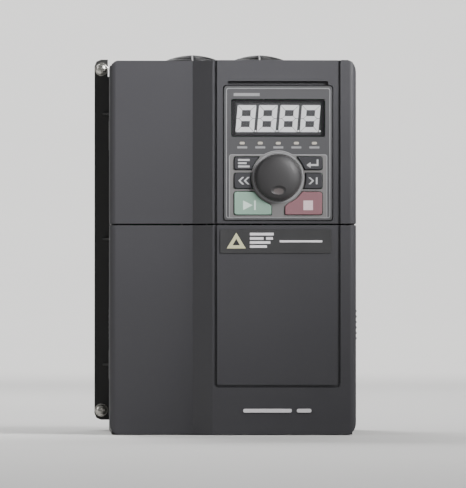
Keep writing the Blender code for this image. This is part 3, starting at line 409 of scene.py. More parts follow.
class Shape:
    """Closed solids gathered into one mesh. Each call adds one and gives the shape back."""

    def __init__(self):
        self.bm = bmesh.new()

    def add(self, made, at=None):
        if at:
            made.transform(at)
        bmesh.ops.recalc_face_normals(made, faces=made.faces)
        mesh = bpy.data.meshes.new("gathered")
        made.to_mesh(mesh)
        made.free()
        self.bm.from_mesh(mesh)
        bpy.data.meshes.remove(mesh)
        return self

    def block(self, corner, opposite, edge=0.3, segments=2, at=None):
        """A box between two opposite corners."""
        made = bmesh.new()
        spans = [sorted(pair) for pair in zip(corner, opposite)]
        bmesh.ops.create_cube(made, size=1)
        bmesh.ops.scale(made, vec=[(b - a) * MM for a, b in spans], verts=made.verts)
        bmesh.ops.translate(made, vec=[(a + b) / 2 * MM for a, b in spans], verts=made.verts)
        soften(made, edge, segments)
        return self.add(made, at)

    def slab(self, centre, halves, edge=0.3, segments=2, at=None):
        """A box given by its middle and half its size along each axis."""
        centre, halves = Vector(centre), Vector(halves)
        return self.block(centre - halves, centre + halves, edge, segments, at)

    def rod(self, start, end, radius, edge=0.2, sides=24):
        made = bmesh.new()
        run = Vector(end) - Vector(start)
        size = {"radius1": radius * MM, "radius2": radius * MM, "depth": run.length * MM}
        bmesh.ops.create_cone(made, cap_ends=True, segments=sides, **size)
        soften(made, edge, 2, 50)
        turn = Vector((0, 0, 1)).rotation_difference(run).to_matrix().to_4x4()
        return self.add(made, Matrix.Translation((Vector(start) + Vector(end)) / 2 * MM) @ turn)

    def ball(self, centre, radius, squash):
        made = bmesh.new()
        bmesh.ops.create_uvsphere(made, u_segments=24, v_segments=14, radius=radius * MM)
        return self.add(made, placed(centre) @ Matrix.Diagonal((*squash, 1)))

    def prism(self, outline, low, high, edge=0.0, segments=2, axis="Y", hole=()):
        """An outline, with a hole in it if one is given, extruded along an axis."""
        def spot(u, v, w):
            return Vector({"X": (w, u, v), "Y": (u, w, v), "Z": (u, v, w)}[axis]) * MM

        made = bmesh.new()
        edges = []
        for points in (hole, outline):
            verts = [made.verts.new(spot(u, v, low)) for u, v in points]
            edges += [made.edges.new(pair) for pair in zip(verts, verts[1:] + verts[:1])]
        if hole:
            bmesh.ops.triangle_fill(made, use_beauty=True, use_dissolve=False, edges=edges)
        else:
            made.faces.new(verts)
        grown = bmesh.ops.extrude_face_region(made, geom=made.faces[:], use_keep_orig=True)["geom"]
        raised = [g for g in grown if isinstance(g, bmesh.types.BMVert)]
        bmesh.ops.translate(made, vec=spot(0, 0, high - low), verts=raised)
        bmesh.ops.recalc_face_normals(made, faces=made.faces)
        soften(made, edge, segments)
        return self.add(made)

    def lathe(self, profile, centre, steps=48, axis="Y", at=None):
        """A closed profile of (radius, height) turned about a centre; Y heights run to the front."""
        made = bmesh.new()
        verts = [made.verts.new((r * MM, 0, h * MM)) for r, h in profile]
        edges = [made.edges.new(pair) for pair in zip(verts, verts[1:] + verts[:1])]
        spin = {"cent": (0, 0, 0), "axis": (0, 0, 1), "dvec": (0, 0, 0)}
        bmesh.ops.spin(made, geom=verts + edges, angle=TURN, steps=steps, **spin)
        bmesh.ops.remove_doubles(made, verts=made.verts, dist=0.0005 * MM)
        bmesh.ops.dissolve_degenerate(made, dist=0.0005 * MM, edges=made.edges)
        bmesh.ops.delete(made, geom=[f for f in made.faces if f.calc_area() < 1e-14], context="FACES")
        bmesh.ops.delete(made, geom=[e for e in made.edges if not e.link_faces], context="EDGES")
        made.transform(placed(centre, 90 if axis == "Y" else 0, "X"))
        return self.add(made, at)

    def pipe(self, points, radius, closed=False, sides=3):
        """A round bar along points; sides is a curve's bevel resolution."""
        curve = bpy.data.curves.new("pipe", "CURVE")
        curve.dimensions = "3D"
        curve.bevel_depth = radius * MM
        curve.bevel_resolution = sides
        curve.use_fill_caps = True
        spline = curve.splines.new("POLY")
        spline.points.add(len(points) - 1)
        for point, spot in zip(spline.points, points):
            point.co = (*[c * MM for c in spot], 1)
        spline.use_cyclic_u = closed
        guide = linked("pipe", curve)
        bpy.context.view_layer.update()
        mesh = bpy.data.meshes.new_from_object(guide.evaluated_get(bpy.context.evaluated_depsgraph_get()))
        made = bmesh.new()
        made.from_mesh(mesh)
        bmesh.ops.remove_doubles(made, verts=made.verts, dist=0.0005 * MM)
        bpy.data.objects.remove(guide)
        bpy.data.meshes.remove(mesh)
        return self.add(made)

    def copy_of(self, node, edge=0.3, segments=2, angle=35):
        """A CAD node's own solid with its edges rounded."""
        made = bmesh.new()
        made.from_mesh(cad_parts[node].data)
        cleaned(made, 0.001)
        soften(made, edge, segments, angle)
        return self.add(made)

    def plain(self, name="cutter"):
        """The gathered solids as one object with no finish, which uses the shape up."""
        mesh = bpy.data.meshes.new(name)
        self.bm.to_mesh(mesh)
        self.bm.free()
        return linked(name, mesh)

    def done(self, name, *finish, **options):
        """The gathered solids as a finished piece; see piece for what follows the name."""
        return piece(self.plain(name), *finish, **options)


def piece(obj, look, body="drive", replaces=None, smooth=38, slot=None):
    """Shades an object, gives it its material and hands it to its CAD body."""
    for layer in list(obj.data.attributes):
        if layer.name in ("custom_normal", "UVMap"):
            obj.data.attributes.remove(layer)
    obj.data.materials.clear()
    obj.data.materials.append(LOOKS[look])
    obj.data.shade_smooth()
    obj.data.set_sharp_from_angle(angle=math.radians(smooth))
    normals = obj.modifiers.new("Normals", "WEIGHTED_NORMAL")
    normals.keep_sharp = True
    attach(obj, body)
    if replaces:
        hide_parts(replaces)
    return obj


def carve(obj, *shapes, operation="DIFFERENCE"):
    """Cuts other solids from an object, or joins or crosses it with them, for good."""
    for shape in shapes:
        other = shape.plain()
        modifier = obj.modifiers.new("Carve", "BOOLEAN")
        modifier.operation = operation
        modifier.object = other
        bpy.context.view_layer.update()
        mesh = bpy.data.meshes.new_from_object(obj.evaluated_get(bpy.context.evaluated_depsgraph_get()))
        obj.modifiers.clear()
        obj.data = mesh
        bpy.data.objects.remove(other)
    return obj


def rounded_again(obj, width, angle=50, segments=2, chosen=None):
    """Cleans a carved mesh and rounds the edges that the cuts left."""
    bm = bmesh.new()
    bm.from_mesh(obj.data)
    cleaned(bm, 0.002)
    soften(bm, width, segments, angle, chosen)
    bmesh.ops.recalc_face_normals(bm, faces=bm.faces)
    bm.to_mesh(obj.data)
    bm.free()
    return obj


# ---- front covers ------------------------------------------------------------------------------
def front_section(rear):
    """The covers' section seen from above, from the left rear corner round the front to the right."""
    return [
        (-HALF_WIDTH, rear), *arc((4 - HALF_WIDTH, SHOULDER_FRONT + 4), 4, 180, 270),
        (SLOPE_X[0], SHOULDER_FRONT), (SLOPE_X[1], FRONT),
        *arc((HALF_WIDTH - 4, FRONT + 4), 4, 270, 360), (HALF_WIDTH, rear),
    ]


def cover_tray(name, bottom, top, floor, roof, round_top):
    """A cover's shell, open towards the housing, with rounded corners at its top or at its foot."""
    tray = Shape().prism(front_section(COVER_REAR + 6), bottom, top, axis="Z").plain(name)
    silhouette = []
    for side_x, side_z, start in ((1, -1, -90), (1, 1, 0), (-1, 1, 90), (-1, -1, 180)):
        z = top if side_z > 0 else bottom
        if round_top == (side_z > 0):
            centre = (side_x * (HALF_WIDTH - CORNER_WIDE), z - side_z * CORNER_WIDE * CORNER_STRETCH)
            silhouette += arc(centre, CORNER_WIDE, start, start + 90, 10, CORNER_STRETCH)
        else:
            silhouette.append((side_x * (HALF_WIDTH + 2), z + side_z * 2))
    carve(tray, Shape().prism(silhouette, FRONT - 5, COVER_REAR + 9), operation="INTERSECT")
    seam = bottom if round_top else top
    rounded_again(tray, 1.5, 42, 4, lambda edge: all(abs(v.co.z / MM - seam) > 1 for v in edge.verts))
    rounded_again(tray, 0.4, 50, 2, lambda edge: all(abs(v.co.z / MM - seam) < 1 for v in edge.verts))
    hollow = Shape().prism(beside(front_section(COVER_REAR + 12), WALL), bottom + floor, top - roof, axis="Z")
    behind = Shape().block((-90, COVER_REAR, bottom - 5), (90, COVER_REAR + 20, top + 5), 0)
    return carve(tray, hollow, behind)


def finished_cover(tray, body, node):
    """Rounds the cuts in a cover's front and hands it over."""
    rounded_again(tray, 0.22, 55, 2, lambda edge: max(v.co.y / MM for v in edge.verts) < FRONT + 8)
    piece(tray, "cover", body, node, 30)


def groove_cutter(points):
    """A cutter for a narrow groove along points of the flat front."""
    return Shape().prism(stroke(points, GROOVE_WIDTH), FRONT - 5, FRONT + GROOVE_DEPTH)


def upper_cover():
    """The screwed upper cover with its keypad pocket, two long grooves and sunk roof screws."""
    tray = cover_tray("upper_cover_shell", UPPER_LOW.z, UPPER_HIGH.z, 1.6, WALL, True)
    left, right, head = PAD_LOW.x - 0.5, PAD_HIGH.x + 0.5, PAD_HIGH.z + 0.5
    back = COVER_REAR - 0.6
    plug = corners("keypad_socket")[2]
    pocket = Shape().block((left - 2, FRONT + 1.4, UPPER_LOW.z + 0.4), (right + 2, back + 1.6, head + 2), 0)
    carve(tray, pocket, operation="UNION")
    carve(
        tray, Shape().prism(seen(PAD_LOW, PAD_HIGH, 1.8, 0.5), FRONT - 5, back),
        Shape().slab((plug.x, back + 1, plug.z), (9, 4, 8), 0),
        Shape().prism(rectangle((-3, head - 3), (56, head + 2.4), 1), FRONT - 5, FRONT + 2.6),
        *[groove_cutter([(x, UPPER_HIGH.z + 4), (x, UPPER_LOW.z - 4)]) for x in GROOVES_X],
    )
    for word in FAN_SIDES:
        x, y, _ = corners(f"upper_cover_screw_{word}")[2]
        roof = UPPER_HIGH.z
        carve(tray, Shape().rod((x, y, roof - 1.9), (x, y, roof + 3), 2.5, edge=0, sides=40))
    finished_cover(tray, "drive", "upper_cover")
    ribs = Shape()
    low_z, high_z = UPPER_LOW.z + 3, UPPER_HIGH.z - 4
    for x in (-58, -44, -30):
        ribs.block((x - 0.6, COVER_REAR - 3.5, low_z), (x + 0.6, COVER_REAR - 0.2, high_z), 0.2)
    ribs.done("upper_cover_ribs", "cover")


def lower_cover():
    """The terminal cover with its framed panel, two hooks and the grips on its sides."""
    tray = cover_tray("lower_cover_shell", LOWER_LOW.z, LOWER_HIGH.z, WALL, WALL, False)
    (left, right), top, bend = GROOVES_X, LOWER_HIGH.z + 4, PANEL_BOTTOM + 2
    foot = [*arc((left + 2, bend), 2, 180, 270, 4)[1:], *arc((right - 2, bend), 2, 270, 360, 4)]
    carve(tray, groove_cutter([(left, top), (left, bend), *foot, (right, top)]))
    grips, ribs = Shape(), Shape()
    hook_foot, hook_head = 56, 72
    for side, flat_front in ((-1, SHOULDER_FRONT + 4.2), (1, FRONT + 4.2)):
        hook = Shape().block(
            (side * 65.6, COVER_REAR - 5, hook_foot), (side * 67.8, COVER_REAR + 9, hook_head), 0
        )
        root = Shape().block(
            (side * 66.4, COVER_REAR - 6, hook_foot - 1), (side * 71, COVER_REAR - 0.5, hook_head + 1), 0
        )
        carve(tray, hook, root, operation="UNION")
        inner, outer = side * (HALF_WIDTH - 0.5), side * (HALF_WIDTH + 0.4)
        for z in steps(hook_foot, 3.2, 6):
            grips.block((inner, flat_front, z), (outer, COVER_REAR - 1, z + 1.3))
    finished_cover(tray, "terminal_cover", "lower_cover")
    grips.done("lower_cover_grips", "cover", "terminal_cover")
    for z in (34, 62, 92):
        ribs.block((-66, COVER_REAR - 3, z), (66, COVER_REAR - 0.4, z + 1.2), 0.2)
    ribs.done("lower_cover_ribs", "cover", "terminal_cover")


def cover_screws():
    """Flat head screws with a cross recess, sunk in the roof of the upper cover."""
    for word in FAN_SIDES:
        node = f"upper_cover_screw_{word}"
        low, high, mid = corners(node)
        radius, top = (high.x - low.x) / 2, high.z
        rim = [(radius, low.z), (radius, top - 0.3), (radius - 0.2, top - 0.1), (radius - 0.8, top)]
        head = Shape().lathe([(0, low.z), *rim, (0, top)], (mid.x, mid.y, 0), axis="Z")
        head = head.plain(f"cover_screw_{word}")
        cross_cut(head, (mid.x, mid.y, top), "Z", 1.4, 0.35, 0.9)
        piece(head, "steel", replaces=node)


def cross_cut(obj, spot, axis, reach, half, depth):
    """Cuts a cross recess for a screwdriver into a face that looks along Y or Z."""
    for wide, narrow in ((reach, half), (half, reach)):
        carve(obj, Shape().slab(spot, (wide, depth, narrow) if axis == "Y" else (wide, narrow, depth), 0))


def front_label():
    """The dark film under the keypad with plain printed shapes: no words."""
    low, high, _ = corners("cover_label")
    y, tall, x = low.y, high.z - low.z, low.x + 9.5
    base, tip = low.z + tall * 0.2, low.z + tall * 0.86
    Shape().prism(seen(low, high, 1.2), y, high.y, 0.08, 1).done(
        "front_label", "label", "terminal_cover", "cover_label"
    )
    for name, look, half, foot, peak, front, back in (
        ("label_triangle", "yellow_ink", 5.6, base, tip, y - 0.06, y + 0.02),
        ("label_triangle_core", "dark_ink", 2.2, base + 1.9, tip - 3.6, y - 0.1, y - 0.04),
    ):
        triangle = Shape().prism([(x - half, foot), (x + half, foot), (x, peak)], front, back)
        triangle.done(name, look, "terminal_cover")
    bars = Shape()
    for start, end, share, half in (
        (17.5, 31.5, 0.80, 0.75), (17.5, 25.5, 0.62, 0.75), (27.0, 31.0, 0.62, 0.75),
        (17.5, 29.5, 0.45, 0.75), (17.5, 27.5, 0.28, 0.75), (35, 60, 0.5, 0.6),
    ):
        z = low.z + tall * share
        bars.block((low.x + start, y - 0.06, z - half), (low.x + end, y + 0.02, z + half), 0)
    bars.done("label_bars", "white_ink", "terminal_cover")


def badge():
    """Two plain raised bars near the foot of the cover."""
    low, high, mid = corners("cover_badge")
    bars = Shape()
    for start, end in ((0, 28.5), (31.5, 40)):
        outline = rectangle((low.x + start, mid.z - 1.1), (low.x + end, mid.z + 1.1), 0.9, 4)
        bars.prism(outline, low.y, high.y, 0.12)
    bars.done("cover_badge_bars", "white_ink", "terminal_cover", "cover_badge", slot="rating_film")


# ---- keypad ------------------------------------------------------------------------------------
def keypad_plate():
    """The front plate, its printed border and the paler area that holds the keys and the knob."""
    Shape().copy_of("keypad_bezel", 0.35, 2, 50).done("keypad_plate", "pad", "keypad", "keypad_bezel")
    y = PAD_LOW.y
    border, hole = seen(PAD_LOW, PAD_HIGH, 1.4, -1.2), seen(PAD_LOW, PAD_HIGH, 1.1, -1.65)
    line = Shape().prism(border, y - PRINT_RISE, y + PRINT_SINK, hole=hole)
    line.done("keypad_border_line", "line", "keypad")
    left, right, foot, bend = PAD_LOW.x + 3.2, PAD_HIGH.x - 3.2, PAD_LOW.z + 1.7, KNOB_Z + BAY_TOP - 1.2
    start = math.degrees(math.asin(BAY_TOP / BAY_RADIUS))
    route = [
        (left, foot), *arc((left + 1.2, bend), 1.2, 180, 90, 3),
        *arc((KNOB_X, KNOB_Z), BAY_RADIUS, 180 - start, start, 20),
        *arc((right - 1.2, bend), 1.2, 90, 0, 3), (right, foot),
    ]
    film = Shape().copy_of("keypad_bezel", 0).plain("key_area_film")
    film.data.transform(Matrix.Translation((0, -0.03 * MM, 0)))
    carve(film, Shape().prism(route, y - 1, y + 0.2), operation="INTERSECT")
    piece(film, "area", "keypad")
    line = Shape().prism(stroke(route, 0.45), y - PRINT_RISE - 0.005, y + PRINT_SINK)
    line.done("key_area_line", "line", "keypad")
    # A low raised ring round the knob; its pale ink is a painted highlight of the lit arc about the knob.
    ring = [(BAY_RADIUS - inset, rise) for inset, rise in ((1.2, 0), (0.7, 0.22), (1.2, 0.3), (1.7, 0))]
    Shape().lathe(ring, (KNOB_X, y + 0.02, KNOB_Z), 64).done("knob_highlight_ring", "line", "keypad")


def display():
    """The smoked window, the module behind it and its four digits, all segments showing."""
    rim_low, rim_high, _ = corners("display_window")
    low, high, mid = corners("display_module")
    glass = Shape().prism(seen(rim_low, rim_high, 0.9), rim_low.y, rim_high.y, 0.2)
    glass.done("display_lens", "window", "keypad", "display_window")
    back, hole = rim_high.y, seen(low, high, grow=0.2)
    mask = Shape().prism(seen(rim_low, rim_high), back + 0.05, back + 0.4, hole=hole)
    mask.done("display_mask", "pocket", "keypad")
    face = low.y - 0.15
    body = Shape().block(low, high, 0.4)
    body.block((low.x + 0.6, face, low.z + 0.6), (high.x - 0.6, low.y + 0.3, high.z - 0.6), 0.1, 1)
    body.done("display_block", "face", "keypad", "display_module")
    tall, wide, bar, gap, dot = 15.8, 10.9, 2.9, 0.14, 0.55
    pitch = (high.x - low.x) / 4
    slant = math.tan(math.radians(5))
    digits = Shape()
    for x in steps(low.x + pitch / 2, pitch, 4):
        point = circle((pitch / 2 - (tall / 2 - dot) * slant, dot - tall / 2), dot, 16)
        for outline in (*segment_outlines(tall, wide, bar, gap), point):
            lean = 0 if outline is point else slant
            leaned = [(x + u + v * lean, mid.z + v) for u, v in outline]
            digits.prism(leaned, face - 0.12, face + 0.02, 0.05, 1)
    digits.done("display_digits", "segments", "keypad")


def segment_outlines(tall, wide, bar, gap):
    """The seven bars of a digit about its centre, mitred where they meet."""
    u, v, half = wide / 2, tall / 2, bar / 2
    level = [(u - gap, v), (gap - u, v), (gap + bar - u, v - bar), (u - bar - gap, v - bar)]
    upright = [(u, v - gap), (u - bar, v - bar - gap), (u - bar, half + gap), (u - half, gap), (u, gap)]
    inner, outer = u - bar - gap, u - half - gap
    outlines = [[(outer, 0), (inner, half), (-inner, half), (-outer, 0), (-inner, -half), (inner, -half)]]
    for side_v in (1, -1):
        outlines.append([(a, side_v * b) for a, b in level])
        outlines += [[(side_u * a, side_v * b) for a, b in upright] for side_u in (1, -1)]
    return outlines


def indicators():
    """A row of five small lamps with a plain bar under each, and a bar over the display."""
    y, z = PAD_LOW.y, KNOB_Z + 20.2
    front, back = y - PRINT_RISE, y + PRINT_SINK
    lamps, marks = Shape(), Shape().block((0.4, front, 198.9), (15.6, back, 200.6), 0)
    for x in steps(5.4, 10.6, 5):
        lamps.prism(rectangle((x - 1.5, z - 0.8), (x + 1.5, z + 0.8), 0.7, 4), y - 0.35, y + 0.1, 0.2)
        marks.block((x - 2.9, front, z - 3.1), (x + 2.9, back, z - 1.9), 0)
    lamps.done("indicator_lamps", "led", "keypad")
    marks.done("indicator_marks", "line", "keypad")


def chevron(x, side, tall=2.2):
    """An angle mark that points to a side: 1 is right, -1 is left."""
    back = [(x - side * 1.5, -tall), (x + side * 0.7, 0), (x - side * 1.5, tall)]
    return [*back, (x - side * 0.3, tall), (x + side * 1.9, 0), (x - side * 0.3, -tall)]


def keys():
    """Six keys with crowned faces, and a plain sign on each."""
    rows = ((-1.9, 3.4), (0, 1.6), (1.9, 3.4))
    menu = [rectangle((-3.4, z - 0.55), (end, z + 0.55)) for z, end in rows]
    enter = [
        rectangle((-1.2, -1.6), (3.4, -0.5)), rectangle((2.4, -0.5), (3.4, 2.2)),
        [(-3.6, -1.05), (-1.2, -2.8), (-1.2, 0.7)],
    ]
    step = [chevron(-1.0, 1, 2.0), rectangle((1.9, -2.0), (2.9, 2.0))]
    play = [[(-3.0, -2.8), (2.6, 0), (-3.0, 2.8)], rectangle((3.4, -2.8), (4.4, 2.8))]
    for name, look, sign_look, sign in (
        ("key_program", "key_grey", "ink", menu), ("key_enter", "key_grey", "ink", enter),
        ("key_shift", "key_grey", "ink", [chevron(-1.3, -1), chevron(1.9, -1)]),
        ("key_jog", "key_grey", "ink", step), ("key_run", "key_green", "green_ink", play),
        ("key_stop", "key_red", "red_ink", [rectangle((-2.8, -2.8), (2.8, 2.8))]),
    ):
        low, high, mid = corners(name)
        Shape().copy_of(name, 0.55, 3, 50).done(f"{name}_cap", look, name, name)
        inset, drop = (5.6, 0) if look == "key_grey" else (8.2, 1.2)
        x, z = low.x + inset if low.x < KNOB_X else high.x - inset, mid.z - drop
        marks = Shape()
        for outline in sign:
            marks.prism([(x + u, z + v) for u, v in outline], low.y - 0.05, low.y + 0.05)
        marks.done(f"{name}_sign", sign_look, name, slot=look)


def knob():
    """The domed knob: fine flutes round its skirt and a finger dimple whose pale bed is a painted highlight.
    """
    back, top = KNOB_HIGH.y, KNOB_LOW.y
    flutes, radius = 40, KNOB_RADIUS
    rim = []
    for turn in steps(0, TURN / flutes / 4, flutes * 4):
        reach = radius - 0.05 - 0.11 * (1 - math.cos(flutes * turn))
        rim.append((KNOB_X + reach * math.cos(turn), KNOB_Z + reach * math.sin(turn)))
    cap = Shape().prism(rim, top + 5.2, back - 1.1, 0.15, 1).plain("knob_cap")
    dome = [(0, 0), (3, 0.08), (6, 0.35), (8.5, 0.8), (10.5, 1.45), (12, 2.35)]
    dome += [(radius - 0.9, 3.4), (radius - 0.55, 4.6)]
    foot = [(radius - 0.5, 0.8 - back), (radius - 0.8, 0.3 - back), (0, 0.3 - back)]
    crown = Shape().lathe([*[(r, -top - drop) for r, drop in dome], *foot], (KNOB_X, 0, KNOB_Z), 96)
    carve(cap, crown, operation="UNION")
    dimple_z = KNOB_Z - DIMPLE_DROP
    carve(
        cap, Shape().rod((KNOB_X, back + 3, KNOB_Z), (KNOB_X, top + 2.6, KNOB_Z), 3.3, edge=0, sides=32),
        Shape().ball((KNOB_X, top - 4.9, dimple_z), 7.0, DIMPLE_SQUASH),
    )
    piece(rounded_again(cap, 0, 60), "knob", "knob", "knob", 30)
    # The dimple's pale bed is a painted highlight where light catches the lower part of the dimple.
    at = placed((KNOB_X, top + 2.06, dimple_z)) @ Matrix.Diagonal((*DIMPLE_SQUASH, 1))
    bed = Shape().lathe([(0, 0), (2.7, 0.46), (2.7, 0.54), (0, 0.08)], (0, 0, 0), 32, at=at)
    bed.done("knob_dimple_bed", "knob_dimple_highlight", "knob")


# ---- housings ----------------------------------------------------------------------------------
def rounded_copies():
    """Pieces whose CAD shape is right: the same solid with its edges rounded."""
    for node, name, look, body, edge in (
        ("keypad_case", "keypad_tray", "housing", "keypad", 0.5),
        ("encoder_shaft", "encoder_spindle", "steel", "knob", 0.3),
        ("main_housing", "housing_shell", "housing", "drive", 0.5),
        ("inner_frame", "partition", "frame", "drive", 0.4),
        ("heatsink", "heatsink_fins", "aluminium", "drive", 0.25),
        ("fan_cover", "fan_plate", "housing", "fan_unit", 0.5),
        ("cable_entry_plate", "entry_plate", "housing", "drive", 0.4),
        ("igbt_module", "igbt_module_case", "resin", "drive", 0.5),
        ("rectifier_module", "rectifier_module_case", "resin", "drive", 0.5),
        ("power_board", "power_board_laminate", "board", "drive", 0.15),
        ("control_board", "control_board_laminate", "board", "drive", 0.15),
        ("current_sensor_1", "current_sensor_case_1", "black", "drive", 0.5),
        ("current_sensor_2", "current_sensor_case_2", "black", "drive", 0.5),
        ("main_terminal_block", "barrier_strip", "black", "drive", 0.35),
        ("ground_terminal", "ground_lug", "tin", "drive", 0.3),
        ("control_terminal_block", "control_terminal_row", "green", "drive", 0.2),
        ("keypad_socket", "socket_shroud", "black", "drive", 0.3),
        ("keypad_plug", "plug_body", "black", "keypad", 0.3),
        ("keypad_board", "keypad_laminate", "board", "keypad", 0.15),
        ("rotary_encoder", "encoder_case", "steel", "keypad", 0.3),
        ("ribbon_cable", "ribbon_band", "ribbon", "drive", 0.1),
    ):
        Shape().copy_of(node, edge, 1 if edge < 0.3 else 2).done(name, look, body, node)


def housings():
    """The duct's recessed panels, and the ribs and gussets that stiffen both housings."""
    shell = Shape().copy_of("rear_housing", 0.5).plain("duct_shell")
    recesses, trim, gussets = Shape(), Shape(), Shape()
    for x0, x1 in ((-66, -22), (-19, 19), (22, 66)):
        for z0, z1 in ((11, 58), (61, 108), (112, 159), (162, 209)):
            recesses.prism(rectangle((x0, z0), (x1, z1), 3), DUCT_HIGH.y - 0.8, DUCT_HIGH.y + 3)
    piece(carve(shell, recesses), "housing", replaces="rear_housing")
    front, rear, foot, head = HOUSING_LOW.y, HOUSING_HIGH.y, 16, 213.5
    for side in (-1, 1):
        inner, outer = side * (HOUSING_HIGH.x - 0.6), side * (HOUSING_HIGH.x + 0.5)
        for z in (foot, 117, head):
            trim.block((inner, front + 4, z - 0.6), (outer, rear - 4, z + 0.6))
        for y in (front + 12, rear - 9):
            trim.block((inner, y - 0.6, foot), (outer, y + 0.6, head))
        for z in (40, 180):
            trim.block((inner, DUCT_LOW.y + 8, z - 9), (outer, DUCT_LOW.y + 20, z + 9), 0.4)
        seat = FLANGE_FRONT + 0.5
        outline = [(inner, FLANGE_FRONT - 6), (inner, seat), (side * (DUCT_HIGH.x - 4.5), seat)]
        for z in (40, 117, 194):
            gussets.prism(outline, z - 0.8, z + 0.8, 0.2, 1, "Z")
    trim.done("housing_side_ribs", "housing")
    gussets.done("flange_gussets", "housing")


def mounting_screws():
    """The pan head screws with washers that hold the flange to its wall."""
    y = FLANGE_FRONT
    for i, (x, z) in enumerate(MOUNT_HOLES, 1):
        washer = [(2.2, 0.05), (4.0, 0.05), (4.0, 0.75), (3.8, 0.85), (2.2, 0.85)]
        Shape().lathe(washer, (x, y, z), 40).done(f"mounting_washer_{i}", "steel")
        profile = [(0, 0.9), (3.4, 0.9), (3.45, 1.6), (3.1, 2.6), (2.2, 3.2), (0, 3.4)]
        head = Shape().lathe(profile, (x, y, z), 40).plain(f"mounting_screw_{i}")
        cross_cut(head, (x, y - 3.4, z), "Y", 2.0, 0.5, 1.5)
        carve(head, Shape().rod((x, y - 1.2, z), (x, y + 3.5, z), 1.95, edge=0), operation="UNION")
        piece(head, "steel")


def rating_plate():
    """A blank film with an empty ruled table: no words."""
    low, high, _ = corners("rating_plate")
    plate = Shape().prism(rectangle((low.y, low.z), (high.y, high.z), 2), low.x, high.x, 0.08, 1, "X")
    plate.done("rating_film", "plate", replaces="rating_plate")
    left, right, foot, head = low.y + 3, high.y - 3, low.z + 3, high.z - 3
    rows = steps(foot, (head - foot) / 6, 7)
    spans = [(left, right, z - 0.15, z + 0.15) for z in rows]
    spans += [(y - 0.15, y + 0.15, foot, head) for y in (left, left + 17, right)]
    for z in rows[:-2]:
        value_end = left + 19 + 22 * (0.6 + 0.05 * (z % 7))
        spans += [(left + 2, left + 12, z + 2.2, z + 3.4), (left + 19, value_end, z + 2.2, z + 3.4)]
    table = Shape()
    for y0, y1, z0, z1 in spans:
        table.block((high.x - 0.02, y0, z0), (high.x + 0.04, y1, z1), 0)
    table.done("rating_table", "dark_ink", slot="rating_film")


# ---- fans --------------------------------------------------------------------------------------
def fan_unit():
    """The finger grips of the fan plate, and the parts of both fans under it."""
    _, high, mid = corners("fan_cover")
    grips = Shape()
    for side in (-1, 1):
        inner, outer = side * (high.x - 3.2), side * (high.x - 0.6)
        for y in steps(mid.y - 7, 3.5, 5):
            grips.block((inner, y - 0.7, high.z - 0.3), (outer, y + 0.7, high.z + 0.8))
    grips.done("fan_plate_grips", "housing", "fan_unit")
    for word, side in FAN_SIDES.items():
        fan_guard(word)
        fan_frame(word)
        fan_rotor(word)
        fan_lead(word, side)


def fan_guard(word):
    """A domed finger guard of four rings on four curved ribs, with a flange round it."""
    low, high, mid = corners(f"fan_guard_{word}")
    at, foot = (mid.x, mid.y, 0), low.z
    outer, rise = (high.x - low.x) / 2, high.z - low.z - 1.5

    def height(radius):
        return foot + 0.65 + rise * max(0.0, 1 - (radius / FAN_BORE) ** 2)

    guard = Shape()
    for radius in (5.2, 8.6, 12.0, 15.4):
        guard.pipe([(u, v, height(radius)) for u, v in circle(mid.xy, radius)], 0.62, closed=True)
    edge = outer - 0.05
    flange = [(18.3, 0.02), (edge, 0.02), (edge, 0.9), (outer - 0.5, 1.3), (18.6, 1.5), (18.3, 1.2)]
    guard.lathe([(radius, foot + lift) for radius, lift in flange], at, 64, "Z")
    boss = [(0, height(3) - 0.7), (3.4, height(3.4) - 0.7), (3.6, height(3.6)), (3.0, height(3) + 0.62)]
    guard.lathe([*boss, (0, height(0) + 0.7)], at, 40, "Z")
    reaches = steps(2, (outer - 2.8) / 10, 11)
    for x, y in ((1, 0), (0, 1), (-1, 0), (0, -1)):
        guard.pipe([(mid.x + x * reach, mid.y + y * reach, height(reach) - 0.1) for reach in reaches], 0.75)
    guard.done(f"fan_finger_guard_{word}", "fan", "fan_unit", f"fan_guard_{word}")


def fan_frame(word):
    """A square frame with a round bore, corner screws and a motor seat on three arms."""
    low, high, mid = corners(f"fan_frame_{word}")
    at, foot, screw = (mid.x, mid.y, 0), low.z, (high.x - low.x) / 2 - 4
    square, bore = rectangle((low.x, low.y), (high.x, high.y), 2.5), circle(mid.xy, FAN_BORE, 64)
    case = Shape().prism(square, foot, high.z, 0.4, axis="Z", hole=bore)
    for spot in rectangle((mid.x - screw, mid.y - screw), (mid.x + screw, mid.y + screw)):
        case.rod((*spot, high.z - 1), (*spot, high.z + 0.25), 1.9, edge=0.3)
    case.lathe([(0, foot + 0.5), (8.4, foot + 0.5), (8.4, foot + 2.2), (0, foot + 2.2)], at, 40, "Z")
    for turn in (30, 150, 270):
        case.block((7, -1.2, foot + 0.8), (19, 1.2, foot + 2.0), 0.2, 1, placed(at, turn))
    case.done(f"fan_case_{word}", "fan", "fan_unit", f"fan_frame_{word}")


def fan_rotor(word):
    """A hub with seven swept and twisted blades."""
    low, high, mid = corners(f"fan_rotor_{word}")
    axis = corners(f"fan_frame_{word}")[2]
    at, foot, top = (axis.x, axis.y, 0), low.z + 0.1, high.z - 0.3
    wall = [(7.9, foot), (8.1, foot + 0.4), (8.1, top - 0.7), (7.6, top), (6.9, top + 0.25), (6.6, top)]
    rotor = Shape().lathe([(0, foot), *wall, (0, top)], at, 56, "Z")
    for start in steps(0, TURN / 7, 7):
        rotor.add(blade(start), placed((axis.x, axis.y, mid.z)))
    rotor.done(f"fan_wheel_{word}", "fan", f"fan_{word}", f"fan_rotor_{word}")
    under, over = high.z - 0.32, high.z - 0.2
    label = Shape().lathe([(0, under), (5.9, under), (5.9, over), (0, over)], at, axis="Z")
    label.done(f"fan_wheel_label_{word}", "plate", f"fan_{word}")


